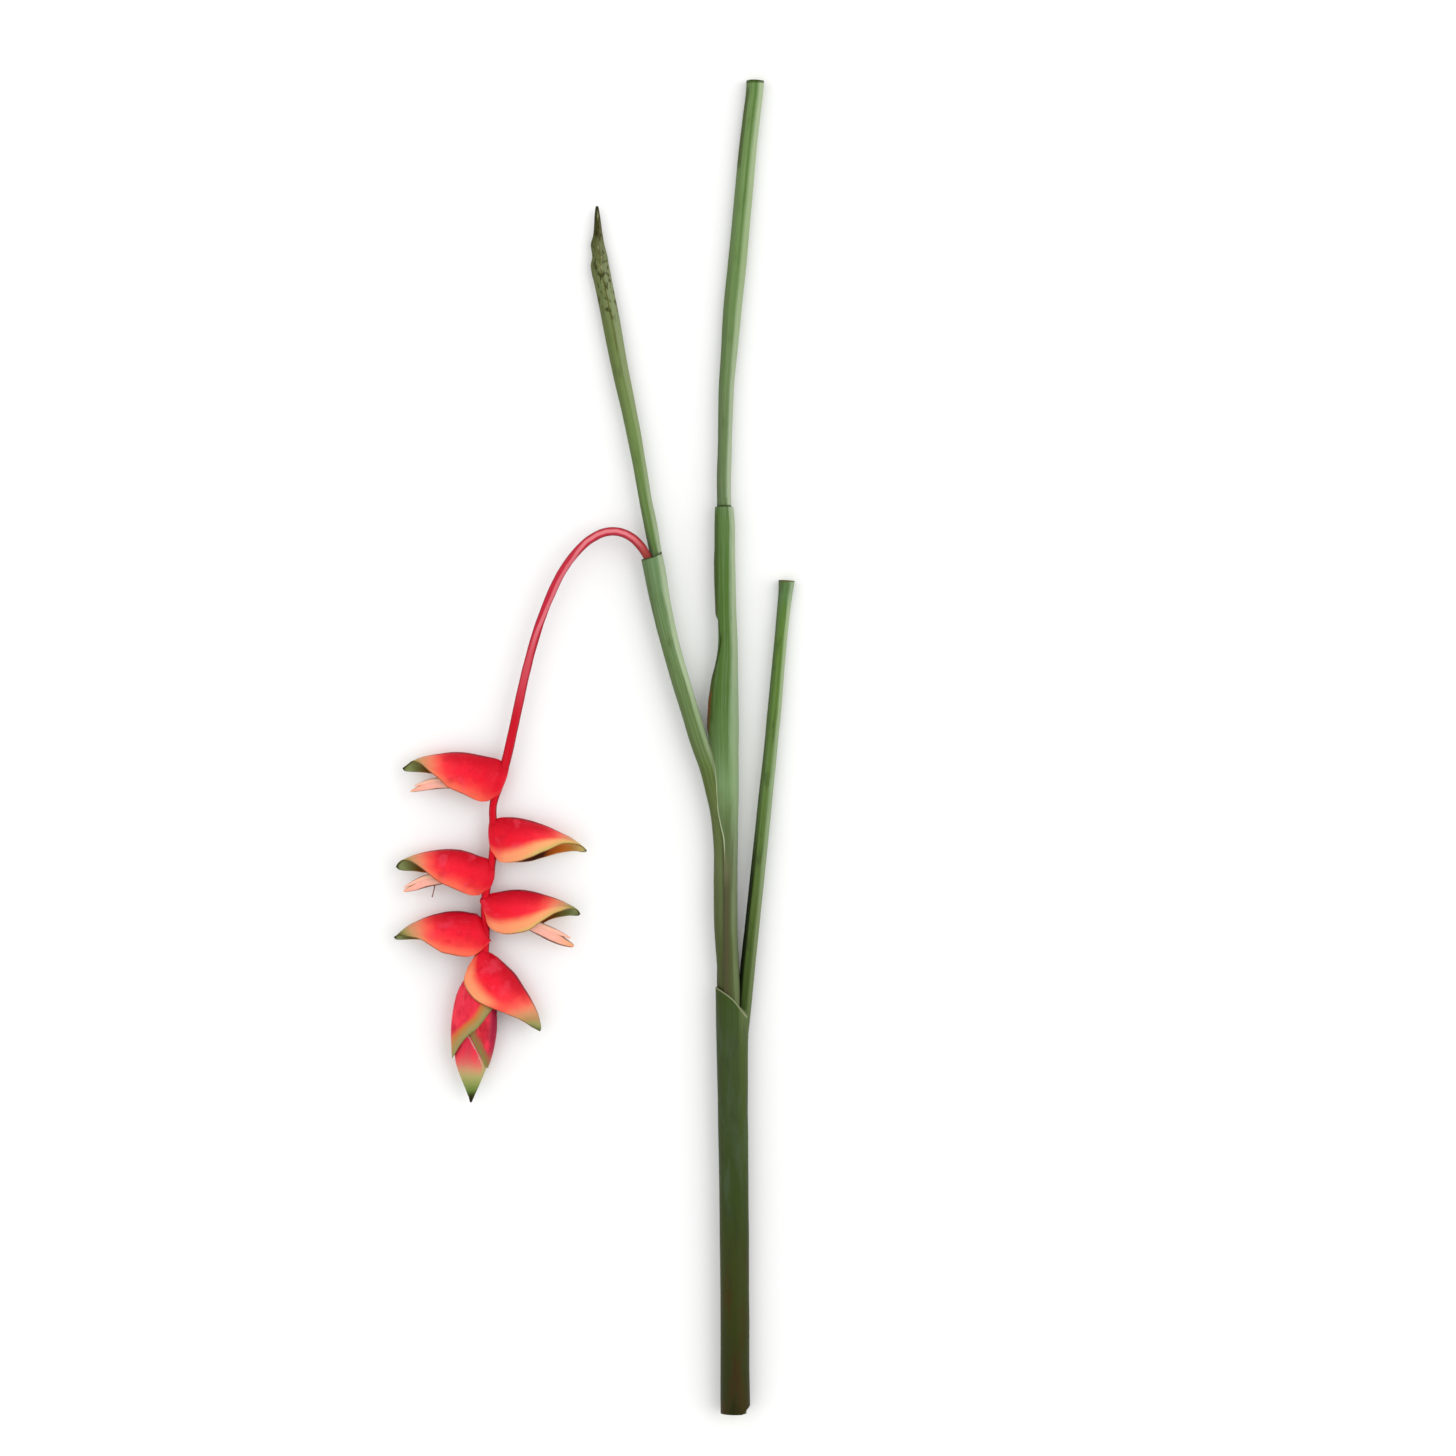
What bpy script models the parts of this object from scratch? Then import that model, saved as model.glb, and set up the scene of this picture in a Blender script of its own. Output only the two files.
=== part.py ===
"""A cut stem of hanging heliconia, the lobster-claw kind, laid down on a flat surface.

The plant lies along Y: the cut butt of its stem is at -Y, its tallest leaf stalk at +Y,
and the flower hangs to the -X side. The surface that it lies on is Z = 0.

Routes and outlines are in millimetres and become metres as they are built. A station of
a route is (x, y, z, half width, half depth): the half width lies in the XY plane, the
half depth along Z.
"""

import math

import bmesh
import bpy
from mathutils import Vector

# Sizes that drive the rest, in millimetres
MM = 0.001
CLEARANCE = 0.3
SHEATH_SIDES = 16
STALK_SIDES = 12
FLAT = math.cos(math.pi / SHEATH_SIDES)
BUTT_Y = -551.0
STEM_RADIUS = 12.0
STEM_Z = STEM_RADIUS * FLAT
MIDDLE_RADIUS = 9.2
FLAG_RADIUS = 6.6
CORE_RADIUS = 4.0
FLOWER_Z = 13.2
BRACT_WALL = 1.2
KEEL_WALL = 1.56
BUD_SKIN = 1.2
CHANNEL = 0.3
CHANNEL_SIDE = math.radians(157.5)
CHANNEL_SHARPNESS = 8
SHARP_EDGE = math.radians(40)

# How far a shape that cuts goes past what it cuts, in millimetres
CUT_LOW, CUT_HIGH = -20.0, 50.0
CUT_BESIDE = 30.0
OPEN_END = 1.0
WIDE_OPEN_END = 3.0


def lying(x, y, half_width, half_depth):
    """A station whose flat underside is on the surface."""
    return (x, y, half_depth * FLAT, half_width, half_depth)


def in_stem(radius):
    """The stations that every nested sheath shares in the lower stem."""
    centres = ((117, BUTT_Y), (116.5, -482), (116, -375), (115, -300), (113, -230.5))
    return [(x, y, STEM_Z, radius, radius) for x, y in centres]


# Outermost leaf: the dark sheath of the lower stem, and the stalk on the right
OUTER_SHEATH = [
    lying(117, BUTT_Y, 12.2, STEM_RADIUS), lying(116.5, -482, 11.8, STEM_RADIUS),
    lying(116, -375, 12.1, STEM_RADIUS), lying(115, -300, 12.4, STEM_RADIUS),
    lying(114.5, -251, 12.9, STEM_RADIUS), lying(114.5, -226, 13.6, STEM_RADIUS),
    lying(114, -189, 13.8, STEM_RADIUS)]
MOUTH_HIGH = (98.5, -197.5)
MOUTH_LOW = (125.5, -222.0)
ABOVE_MOUTH = -100.0
CHIP = [(122, BUTT_Y - 5), (135, BUTT_Y - 5), (135, BUTT_Y + 11)]
RIGHT_STALK = [
    (119, -271, STEM_Z, 6.0, 6.0), (121.5, -238, STEM_Z, 6.1, 6.0), (124.5, -210, 11.6, 6.3, 6.0),
    (127.5, -176, 11.4, 6.4, 6.0), (130.5, -148, 11.0, 6.5, 5.9), (137, -86, 10.0, 6.3, 5.8),
    (144, -20, 9.0, 6.1, 5.6), (150.5, 46, 8.0, 5.9, 5.4), (154.5, 91, 7.2, 5.6, 5.4),
    lying(157, 116.5, 5.9, 5.6), lying(158.5, 129, 6.4, 6.0), lying(159, 137, 7.2, 6.6)]

# Middle leaf: it opens on the left for the flower branch, and carries the tallest stalk
MIDDLE_SHEATH = in_stem(MIDDLE_RADIUS) + [
    (111, -193, 11.6, 9.8, 9.6), (109, -152, 11.4, 9.9, 9.6), (109, -110, 11.2, 9.9, 9.9),
    (109, -70, 11.0, 10.3, 10.7), (108.5, -36, 11.0, 11.3, 10.8), (107.5, -3, 11.0, 12.3, 10.8),
    (107, 29, 10.8, 12.8, 10.4), (107.5, 54, 10.4, 11.9, 10.0), (109, 80, 10.0, 10.0, 9.4),
    (108.5, 112, 9.8, 9.3, 8.9), (108, 153, 9.4, 9.0, 8.6), (108, 182, 9.2, 8.8, 8.4),
    (107.5, 198, 9.0, 8.0, 7.8)]
MIDDLE_HOLLOW = [
    (112, -48, 11.0, 2.0, 4.0), (109.5, -25, 11.0, 7.0, 8.2), (107.5, -3, 11.0, 10.0, 8.6),
    (107, 29, 10.8, 10.6, 8.4), (107.5, 54, 10.4, 9.7, 8.0), (109, 80, 10.0, 8.0, 7.4),
    (108.5, 112, 9.8, 7.3, 6.9), (108, 153, 9.4, 6.6, 6.2), (108, 170, 9.2, 3.0, 3.0)]
MIDDLE_SLIT = [
    (95, -10, 11.0, 4.0, 1.0), (94.5, 29, 10.8, 4.0, 1.0), (96, 54, 10.4, 4.0, 1.0),
    (99, 80, 10.0, 4.0, 1.0), (99.5, 112, 9.8, 4.0, 1.0), (99, 158, 9.4, 4.0, 1.0)]
FRONT_MARGIN = [
    (95, 24), (97.8, -3.5), (101.3, -24), (103.2, -44.5), (105.2, -65), (107, -84),
    (107.5, -110), (107.5, -180), (104, -212)]
BACK_MARGIN = [(95, 22), (99, -3.5), (101.5, -24), (101.5, -212)]
LEFT_OF_STEM = 70.0
MARGIN_Z = 11.5
HALVES_OVERLAP = 0.1
TALL_STALK = [
    (107.5, 170, 9.0, 5.6, 5.2), (107.5, 198, 9.0, 6.1, 5.6), (107, 219, 8.8, 6.2, 5.4),
    (108, 252, 8.4, 6.2, 5.4), (109, 294, 8.0, 6.6, 5.5), (111.5, 327, 7.6, 7.4, 5.8),
    (114, 360, 7.2, 8.1, 6.1), (117.5, 393, 6.9, 8.2, 6.3), (120.5, 426, 6.7, 8.0, 6.3),
    (124, 463, 6.5, 7.8, 6.2), (127.5, 500, 6.3, 7.7, 6.2), lying(130.5, 525, 7.5, 6.2),
    lying(132.5, 540, 7.4, 6.2), lying(133, 550.5, 7.7, 6.5)]

# Flag leaf: the sheath round the flower stalk, and the stalk with the torn tip
FLAG_BRANCH = [
    (110.3, -193, 11.6, 7.8, 7.6), (107.6, -152, 11.5, 8.2, 8.0), (107.2, -125, 11.4, 8.2, 8.0),
    (105.8, -88, 11.2, 8.2, 8.0), (102.6, -57, 11.7, 8.0, 7.8), (98.6, -36, 12.2, 7.9, 7.6),
    (94.8, -18, 12.8, 7.8, 7.4), (89.5, -3, 13.2, 7.6, 7.3), (79.2, 29.5, 13.0, 7.5, 7.3),
    (64.2, 79.5, 12.5, 7.6, 7.4), (54.7, 120.5, 12.2, 8.4, 8.0), (50.2, 145.5, 12.0, 9.0, 8.4),
    (47.7, 157.5, 12.0, 9.0, 8.4)]
FLAG_SHEATH = in_stem(FLAG_RADIUS) + FLAG_BRANCH
FLAG_MOUTH = [(50.2, 146, 12.0, 5.4, 5.0), (49, 151, 12.0, 7.2, 6.6), (47.7, 157.5, 12.0, 7.7, 7.1)]
TORN_STALK = [
    (54.5, 139, 10.6, 4.6, 4.8), (51, 159.5, 10.2, 5.4, 5.0), (47.5, 178, 10.2, 5.8, 5.0),
    (44, 195, 10.0, 5.8, 4.8), (41, 211, 9.8, 5.4, 4.6), (35.5, 244, 9.4, 6.0, 4.6),
    (29, 277, 9.0, 6.4, 4.6), (21.5, 310, 8.4, 7.2, 4.6), (15.5, 343, 7.8, 7.7, 4.6),
    (9, 376, 7.0, 7.7, 4.4), (5.5, 391, 6.6, 8.2, 4.0), (4, 399, 6.4, 8.1, 3.4),
    (5, 404, 6.2, 6.6, 3.0), (3.2, 411.5, 6.2, 6.2, 2.8), (2.4, 415.5, 6.2, 6.3, 2.4),
    (3.4, 421, 6.2, 4.3, 2.2), (3, 431, 6.2, 3.1, 1.8), (2.6, 441, 6.2, 2.5, 1.5),
    (2.5, 447, 6.2, 1.5, 1.2)]

# Flower stalk: the core of the stem, the arch, and the zigzag axis of the flower
CORE = in_stem(CORE_RADIUS) + [
    (x, y, z, CORE_RADIUS, CORE_RADIUS) for x, y, z, _, _ in FLAG_BRANCH[:-3]]
ARCH = [
    (55.5, 115, 13.0, 4.0, 4.0), (50, 140, 13.6, 3.9, 3.9), (44.3, 157, 14.2, 3.8, 3.8),
    (33.5, 171, 14.8, 3.7, 3.7), (19, 177.5, 15.0, 3.7, 3.7), (3, 174.5, 14.8, 3.7, 3.7),
    (-14, 161, 14.4, 3.6, 3.6), (-30.5, 136.5, 14.0, 3.6, 3.6), (-46.5, 96, 13.6, 3.6, 3.6),
    (-57.5, 55, 13.4, 3.8, 3.8), (-66, 15, FLOWER_Z, 3.9, 3.9)]
ZIGZAG = [
    (-73, -16, FLOWER_Z, 4.2, 4.2), (-79, -34.5, FLOWER_Z, 4.0, 4.0),
    (-85, -52, FLOWER_Z, 3.9, 3.9), (-87.3, -67, FLOWER_Z, 4.1, 4.1),
    (-87, -82, FLOWER_Z, 3.9, 3.9), (-85.7, -96, FLOWER_Z, 4.1, 4.1),
    (-88, -111, FLOWER_Z, 3.9, 3.9), (-89.8, -125, FLOWER_Z, 4.1, 4.1),
    (-89.6, -138, FLOWER_Z, 3.9, 3.9), (-87.5, -151, FLOWER_Z, 4.1, 4.1),
    (-87.3, -161, FLOWER_Z, 3.9, 3.9), (-90, -173, FLOWER_Z, 3.9, 3.9),
    (-93.5, -184, FLOWER_Z, 3.6, 3.6), (-95.2, -193, FLOWER_Z, 3.0, 3.0),
    (-96, -200, FLOWER_Z, 2.2, 2.2)]

# Bracts: outlines from the base at the axis to the tip, seen from above.
# Each is (keel, margin nearer the eye, margin on the underside, widest half depth, tuck).
BRACTS = {
    "bract_1": (
        [(-71.5, -14.5), (-78, -10), (-94, -6.5), (-114.5, -4), (-135, -6.5), (-148, -10.5),
         (-157.5, -18)],
        [(-77.5, -42), (-86, -46), (-96, -45.5), (-107, -42), (-120, -35), (-130, -30),
         (-140, -21.5), (-150, -17.5), (-157.5, -18)],
        [(-77.5, -42), (-86, -46), (-96, -45.5), (-107, -42), (-120, -35), (-130, -29),
         (-140, -24), (-150, -22.5), (-157.5, -18)], 12.4, 0.25),
    "bract_2": (
        [(-86.5, -60.5), (-78, -58.5), (-66, -58.3), (-55, -60), (-44, -63), (-32, -67.5),
         (-19.5, -74.5), (-7, -86)],
        [(-86.5, -88.5), (-78, -95.3), (-65, -96.5), (-52.5, -96.3), (-40.5, -93.5),
         (-28, -90), (-15.5, -87), (-7, -86)],
        [(-86.5, -88.5), (-78, -95.3), (-65, -96.5), (-52.5, -96.8), (-40.5, -95),
         (-28, -91.5), (-15.5, -88), (-7, -86)], 12.6, 0.25),
    "bract_3": (
        [(-82, -97.6), (-87, -93.6), (-94, -91), (-102, -88), (-112, -84.5), (-122, -83.5),
         (-135, -85), (-150, -88.5), (-158.5, -93.5), (-162.5, -101)],
        [(-87, -119.5), (-95, -122.8), (-102, -123.3), (-114, -119.5), (-123.5, -115),
         (-133, -108.5), (-143.5, -102), (-155, -96.5), (-162.5, -101)],
        [(-87, -119.5), (-95, -122.8), (-102, -123.3), (-114, -119.5), (-123.5, -114.5),
         (-132, -108.5), (-141, -105), (-153.5, -104.5), (-162.5, -101)], 13.2, 0.25),
    "bract_4": (
        [(-93, -126.5), (-86, -124), (-77.5, -120.2), (-65, -117.7), (-52.5, -117.7),
         (-40.5, -120), (-28, -125), (-19, -130.5), (-12, -138.5)],
        [(-93, -137.3), (-86, -148.6), (-79, -153), (-65, -155.5), (-52.5, -154.5),
         (-40.5, -148), (-31, -143.5), (-21.5, -141), (-12, -138.5)],
        [(-93, -137.3), (-86, -148.6), (-79, -153), (-65, -155.5), (-52.5, -154.8),
         (-40.5, -149.5), (-31, -145.5), (-21.5, -142), (-12, -138.5)], 13.2, 0.25),
    "bract_5": (
        [(-85.5, -152.5), (-91, -144), (-97.5, -138.8), (-106.5, -135.5), (-117, -134.5),
         (-128.5, -136.5), (-139.5, -140), (-151.5, -145.5), (-160, -152.5), (-166, -158.5)],
        [(-85.5, -165.5), (-91, -167.3), (-96.5, -170.5), (-103, -173.5), (-114.5, -173.5),
         (-125.5, -171), (-135, -165.5), (-145, -160.5), (-156, -157), (-166, -158.5)],
        [(-85.5, -165.5), (-91, -167.3), (-96.5, -170.5), (-103, -173.5), (-114.5, -173.5),
         (-125.5, -171), (-135, -165), (-145, -161.5), (-156, -160), (-166, -158.5)],
        12.6, 0.25),
    "bract_6": (
        [(-84, -170.5), (-74, -178), (-64, -187.5), (-56.5, -198), (-50, -210), (-46, -219.5),
         (-43.5, -228), (-44, -236)],
        [(-101.5, -176.5), (-106, -188), (-105.5, -197.5), (-100, -205.5), (-91.5, -212.5),
         (-81, -217), (-69, -221.5), (-57, -227), (-50, -232), (-44, -236)],
        [(-101.5, -176.5), (-106, -188), (-105.5, -197.5), (-100, -205.5), (-91.5, -212.5),
         (-81, -217), (-69, -221.5), (-57, -227), (-50, -232), (-44, -236)], 13.2, 0.04),
}
BRACT_DEPTHS = [0.46, 0.84, 1.0, 0.97, 0.8, 0.58, 0.34, 0.07]
BRACT_RINGS = 11
LAST_RING = 0.985
BRACT_FOLDS = (0.0, 0.07, 0.24, 0.5, 0.76, 1.0)
FULL_DEPTH_AT = 0.6
TIP_SOLID_FROM = 0.84
WALL_SHARE = 0.9
HOLLOW_SHARE = 0.1

# Flowers: two pointed lips each, as routes from the axis to the tips; the axis is cut out
FLOWERS = {
    "flower_1": (
        [(-79.3, -34, FLOWER_Z, 2.6, 2.6), (-100, -32, FLOWER_Z, 3.6, 3.2),
         (-122, -31, 13.8, 4.0, 3.2), (-136, -31, 14.2, 3.2, 2.2), (-149.5, -36.5, 14.4, 0.8, 0.7)],
        [(-112, -31, 13.6, 3.0, 2.6), (-128, -31, 14.0, 3.2, 2.2), (-140, -30, 14.2, 2.0, 1.5),
         (-149, -31, 14.4, 0.7, 0.6)]),
    "flower_3": (
        [(-88, -110, FLOWER_Z, 2.6, 2.6), (-108, -108, FLOWER_Z, 3.6, 3.2),
         (-126, -109.5, 13.8, 4.2, 3.2), (-141, -114, 14.2, 3.4, 2.2), (-157, -119, 14.4, 0.8, 0.7)],
        [(-118, -108, 13.6, 3.0, 2.6), (-132, -109, 14.0, 3.2, 2.2), (-144, -112, 14.2, 2.0, 1.5),
         (-157.5, -116, 14.4, 0.7, 0.6)]),
    "flower_4": (
        [(-89.4, -136, FLOWER_Z, 2.6, 2.6), (-68, -139, FLOWER_Z, 3.6, 3.2),
         (-47, -145, 13.8, 4.4, 3.2), (-33, -154, 14.2, 3.8, 2.2), (-16, -165, 14.4, 0.8, 0.7)],
        [(-58, -141, 13.6, 3.0, 2.6), (-44, -145.5, 14.0, 3.4, 2.2), (-32, -150, 14.2, 2.4, 1.5),
         (-18, -158.5, 14.4, 0.7, 0.6)]),
}

FILAMENTS = {
    "flower_3": [(-130.5, -109, 13.9, 0.7, 0.7), (-131.5, -116, 14.2, 0.7, 0.7),
                 (-133.5, -124.5, 13.6, 0.6, 0.6)]}
FILAMENT_SIDES = 6

# Closed bud: the innermost bracts as one spindle, and two young bracts wrapped over it
BUD_CORE = [
    (-94.5, -189, FLOWER_Z, 6.2, 5.0), (-95.5, -198, FLOWER_Z, 11.0, 7.2),
    (-96.7, -209, FLOWER_Z, 14.6, 8.1), (-98, -232, FLOWER_Z, 16.9, 8.2),
    (-99, -247, FLOWER_Z, 15.6, 8.0), (-100.5, -261, FLOWER_Z, 13.4, 6.8),
    (-100.7, -277, FLOWER_Z, 7.4, 4.2), (-101, -289, FLOWER_Z, 2.4, 1.8),
    (-101.5, -294.5, FLOWER_Z, 0.7, 0.6)]
BUD_BASE = [(-94, -184.5, FLOWER_Z, 2.4, 2.4), (-94.2, -187, FLOWER_Z, 4.2, 3.6)]
OUTER_REGION = [
    (-130, -170), (-70, -170), (-78, -200), (-83, -211), (-88, -219), (-100, -232),
    (-109, -243.5), (-116, -254), (-130, -262)]
INNER_REGION = [
    (-106, -170), (-70, -170), (-70, -268), (-87, -266), (-89, -262), (-93, -250),
    (-100, -237), (-104, -225), (-106, -205)]

COLOURS = {
    "outer_leaf": (0.045, 0.070, 0.018), "middle_leaf": (0.110, 0.210, 0.060),
    "flag_leaf": (0.160, 0.260, 0.090), "flower_stalk": (0.560, 0.060, 0.080),
    "bract": (0.800, 0.030, 0.050), "flower": (0.950, 0.450, 0.330),
    "bud": (0.620, 0.070, 0.080)}


def clear_scene():
    for item in list(bpy.data.objects):
        bpy.data.objects.remove(item, do_unlink=True)


def material(name, colour, roughness=0.45):
    result = bpy.data.materials.new(name)
    result.use_nodes = True
    shader = result.node_tree.nodes["Principled BSDF"]
    shader.inputs["Base Color"].default_value = (*colour, 1.0)
    shader.inputs["Roughness"].default_value = roughness
    shader.inputs["Metallic"].default_value = 0.0
    return result


def smooth(points, steps):
    """More points on a curve through the given ones; all their numbers are eased alike."""
    points = [Vector(point) for point in points]
    last = len(points) - 1
    slopes = []
    for index in range(last + 1):
        before = points[max(index - 1, 0)]
        after = points[min(index + 1, last)]
        length = (points[index] - before).length + (after - points[index]).length
        slopes.append((after - before) / length)
    result = []
    for index in range(last):
        start, end = points[index], points[index + 1]
        span = (end - start).length
        for step in range(steps):
            t = step / steps
            result.append(
                start * (2 * t**3 - 3 * t**2 + 1) + slopes[index] * span * (t**3 - 2 * t**2 + t)
                + end * (3 * t**2 - 2 * t**3) + slopes[index + 1] * span * (t**3 - t**2))
    return [tuple(point) for point in result + [points[last]]]


def along(points, share):
    """The point at a share of an outline's length."""
    points = [Vector(point) for point in points]
    lengths = [(b - a).length for a, b in zip(points, points[1:])]
    wanted = share * sum(lengths)
    for start, end, length in zip(points, points[1:], lengths):
        if wanted <= length:
            return start.lerp(end, wanted / length)
        wanted -= length
    return points[-1]


def grown(stations, amount):
    return [(x, y, z, a + amount, b + amount) for x, y, z, a, b in stations]


def new_object(name, mesh, colour_name):
    bmesh.ops.recalc_face_normals(mesh, faces=mesh.faces)
    data = bpy.data.meshes.new(name)
    mesh.to_mesh(data)
    mesh.free()
    data.shade_smooth()
    data.set_sharp_from_angle(angle=SHARP_EDGE)
    result = bpy.data.objects.new(name, data)
    bpy.context.scene.collection.objects.link(result)
    if colour_name:
        data.materials.append(material(name, COLOURS[colour_name]))
    return result


def bridge(mesh, rings):
    """Walls between closed rings of equally many points."""
    for lower, upper in zip(rings, rings[1:]):
        for index in range(len(lower)):
            following = (index + 1) % len(lower)
            mesh.faces.new((lower[index], lower[following], upper[following], upper[index]))


def sweep(name, stations, sides=SHEATH_SIDES, colour_name=None, reach=0.0, channel=0.0):
    """A closed rod through the stations. Its ends can reach past the first and the last,
    and a shallow channel can run along its upper left."""
    centres = [Vector(station[:3]) for station in stations]
    last = len(centres) - 1
    mesh = bmesh.new()
    rings = []
    for index, (_, _, _, half_width, half_depth) in enumerate(stations):
        ahead = centres[min(index + 1, last)] - centres[max(index - 1, 0)]
        ahead.normalize()
        side = ahead.cross(Vector((0, 0, 1))).normalized()
        up = side.cross(ahead)
        centre = centres[index] + ahead * reach * ((index == last) - (index == 0))
        ring = []
        for corner in range(sides):
            angle = 2 * math.pi * (corner + 0.5) / sides
            facing = max(math.cos(angle - CHANNEL_SIDE), 0)
            hollow = 1 - channel * facing ** CHANNEL_SHARPNESS
            out = side * half_width * math.cos(angle) + up * half_depth * math.sin(angle)
            ring.append(mesh.verts.new((centre + out * hollow) * MM))
        rings.append(ring)
    bridge(mesh, rings)
    mesh.faces.new(rings[0])
    mesh.faces.new(rings[-1])
    return new_object(name, mesh, colour_name)


def prism(outline, low=CUT_LOW, high=CUT_HIGH):
    """A plan outline raised from one height to another."""
    mesh = bmesh.new()
    rings = [[mesh.verts.new(Vector((x, y, z)) * MM) for x, y in outline] for z in (low, high)]
    bridge(mesh, rings)
    mesh.faces.new(rings[0])
    mesh.faces.new(rings[1])
    return new_object("prism", mesh, None)


def combine(target, tool, operation):
    """One Boolean, applied; the tool is used up."""
    modifier = target.modifiers.new(operation.title(), "BOOLEAN")
    modifier.operation = operation
    modifier.object = tool
    modifier.solver = "EXACT"
    bpy.context.view_layer.update()
    depsgraph = bpy.context.evaluated_depsgraph_get()
    result = bpy.data.meshes.new_from_object(target.evaluated_get(depsgraph))
    target.modifiers.clear()
    target.data = result
    bpy.data.objects.remove(tool, do_unlink=True)


def bore(target, stations, sides=SHEATH_SIDES):
    """The channel that holds an inner piece, wider than it by the clearance."""
    tool = sweep("bore", grown(stations, CLEARANCE), sides, reach=OPEN_END)
    combine(target, tool, "DIFFERENCE")


def stalk_route():
    """The flower stalk from the cut butt, over the arch, to inside the closed bud."""
    return CORE + smooth(ARCH, 2) + ZIGZAG


def outer_leaf():
    leaf = sweep("outer_leaf", OUTER_SHEATH, colour_name="outer_leaf")
    high, low = Vector(MOUTH_HIGH), Vector(MOUTH_LOW)
    beyond = (low - high) * CUT_BESIDE / (low.x - high.x)
    left, right = high - beyond, low + beyond
    above = [left, right, (right.x, ABOVE_MOUTH), (left.x, ABOVE_MOUTH)]
    combine(leaf, prism(above), "DIFFERENCE")
    combine(leaf, sweep("stalk", RIGHT_STALK, channel=CHANNEL), "UNION")
    bore(leaf, MIDDLE_SHEATH)
    combine(leaf, prism(CHIP), "DIFFERENCE")


def middle_leaf():
    leaf = sweep("middle_leaf", MIDDLE_SHEATH, colour_name="middle_leaf")
    combine(leaf, sweep("hollow", MIDDLE_HOLLOW), "DIFFERENCE")
    combine(leaf, sweep("stalk", TALL_STALK, channel=CHANNEL), "UNION")
    bore(leaf, FLAG_SHEATH)
    halves = ((FRONT_MARGIN, MARGIN_Z, CUT_HIGH), (BACK_MARGIN, CUT_LOW, MARGIN_Z + HALVES_OVERLAP))
    for margin, low, high in halves:
        left = [(LEFT_OF_STEM, margin[0][1])] + margin + [(LEFT_OF_STEM, margin[-1][1])]
        combine(leaf, prism(left, low, high), "DIFFERENCE")
    combine(leaf, sweep("slit", MIDDLE_SLIT), "DIFFERENCE")


def flag_leaf():
    leaf = sweep("flag_leaf", FLAG_SHEATH, colour_name="flag_leaf")
    combine(leaf, sweep("mouth", FLAG_MOUTH, reach=WIDE_OPEN_END), "DIFFERENCE")
    combine(leaf, sweep("stalk", TORN_STALK, channel=CHANNEL), "UNION")
    bore(leaf, stalk_route(), STALK_SIDES)


def fold_depth(t, tuck):
    """How far a side stands out from the fold, from 0 at the keel to 1, then tucked in."""
    if t < FULL_DEPTH_AT:
        return math.sin(math.pi / 2 * (t / FULL_DEPTH_AT) ** 0.7)
    return 1 - tuck * ((t - FULL_DEPTH_AT) / (1 - FULL_DEPTH_AT)) ** 2


def bract_ring(mesh, outlines, share, depth, tuck):
    """One closed ring round the wall of a folded bract: outside one way, inside back.

    Towards the tip the wall fills the fold, so that the beak is solid."""
    keel, front, back = (along(outline, share) for outline in outlines)
    solid = min(max((share - TIP_SOLID_FROM) / (1 - TIP_SOLID_FROM), 0), 1)
    inner_depth = max((depth - BRACT_WALL) * (1 - solid), depth * HOLLOW_SHARE)
    turns = [(-t, front, 1) for t in BRACT_FOLDS[:0:-1]] + [(t, back, -1) for t in BRACT_FOLDS]
    outside, inside = [], []
    for t, margin, side in turns:
        wall = min(KEEL_WALL / (margin - keel).length, WALL_SHARE)
        wall = max(wall, WALL_SHARE * solid)
        for points, start, reach in ((outside, 0.0, depth), (inside, wall, inner_depth)):
            plan = keel.lerp(margin, start + (1 - start) * abs(t))
            height = FLOWER_Z + side * reach * fold_depth(abs(t), tuck)
            points.append(mesh.verts.new(Vector((plan.x, plan.y, height)) * MM))
    return outside + inside[::-1]


def end_wall(mesh, ring):
    """Closes the wall's end between its outer and its inner points."""
    outside, inside = ring[:len(ring) // 2], ring[:len(ring) // 2 - 1:-1]
    for index in range(len(outside) - 1):
        corners = (outside[index], outside[index + 1], inside[index + 1], inside[index])
        mesh.faces.new(corners)


def depth_at(depths, share):
    place = share * (len(depths) - 1)
    low = min(int(place), len(depths) - 2)
    return depths[low] + (depths[low + 1] - depths[low]) * (place - low)


def bract(name):
    keel, front, back, depth, tuck = BRACTS[name]
    outlines = [smooth(outline, 3) for outline in (keel, front, back)]
    depths = [pair[0] for pair in smooth([(value * depth, 0.0) for value in BRACT_DEPTHS], 4)]
    mesh = bmesh.new()
    rings = []
    for index in range(BRACT_RINGS):
        share = LAST_RING * index / (BRACT_RINGS - 1)
        rings.append(bract_ring(mesh, outlines, share, depth_at(depths, share), tuck))
    bridge(mesh, rings)
    end_wall(mesh, rings[0])
    end_wall(mesh, rings[-1])
    bore(new_object(name, mesh, "bract"), stalk_route(), STALK_SIDES)


def flower(name):
    lower, upper = FLOWERS[name]
    piece = sweep(name, smooth(lower, 2), STALK_SIDES, "flower")
    combine(piece, sweep("lip", smooth(upper, 2), STALK_SIDES), "UNION")
    if name in FILAMENTS:
        combine(piece, sweep("filament", FILAMENTS[name], FILAMENT_SIDES), "UNION")
    bore(piece, stalk_route(), STALK_SIDES)


def bud():
    tip = sweep("bud_tip", BUD_CORE, colour_name="bud")
    bore(tip, stalk_route(), STALK_SIDES)
    skins = (("bud_bract_inner", BUD_BASE[1:], CLEARANCE, INNER_REGION),
             ("bud_bract_outer", BUD_BASE, 2 * CLEARANCE + BUD_SKIN, OUTER_REGION))
    for name, base, offset, region in skins:
        stations = base + BUD_CORE
        skin = sweep(name, grown(stations, offset + BUD_SKIN), colour_name="bud")
        inside = sweep("inside", grown(stations, offset), reach=WIDE_OPEN_END)
        combine(skin, inside, "DIFFERENCE")
        combine(skin, prism(region), "INTERSECT")
        bore(skin, stalk_route(), STALK_SIDES)


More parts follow.
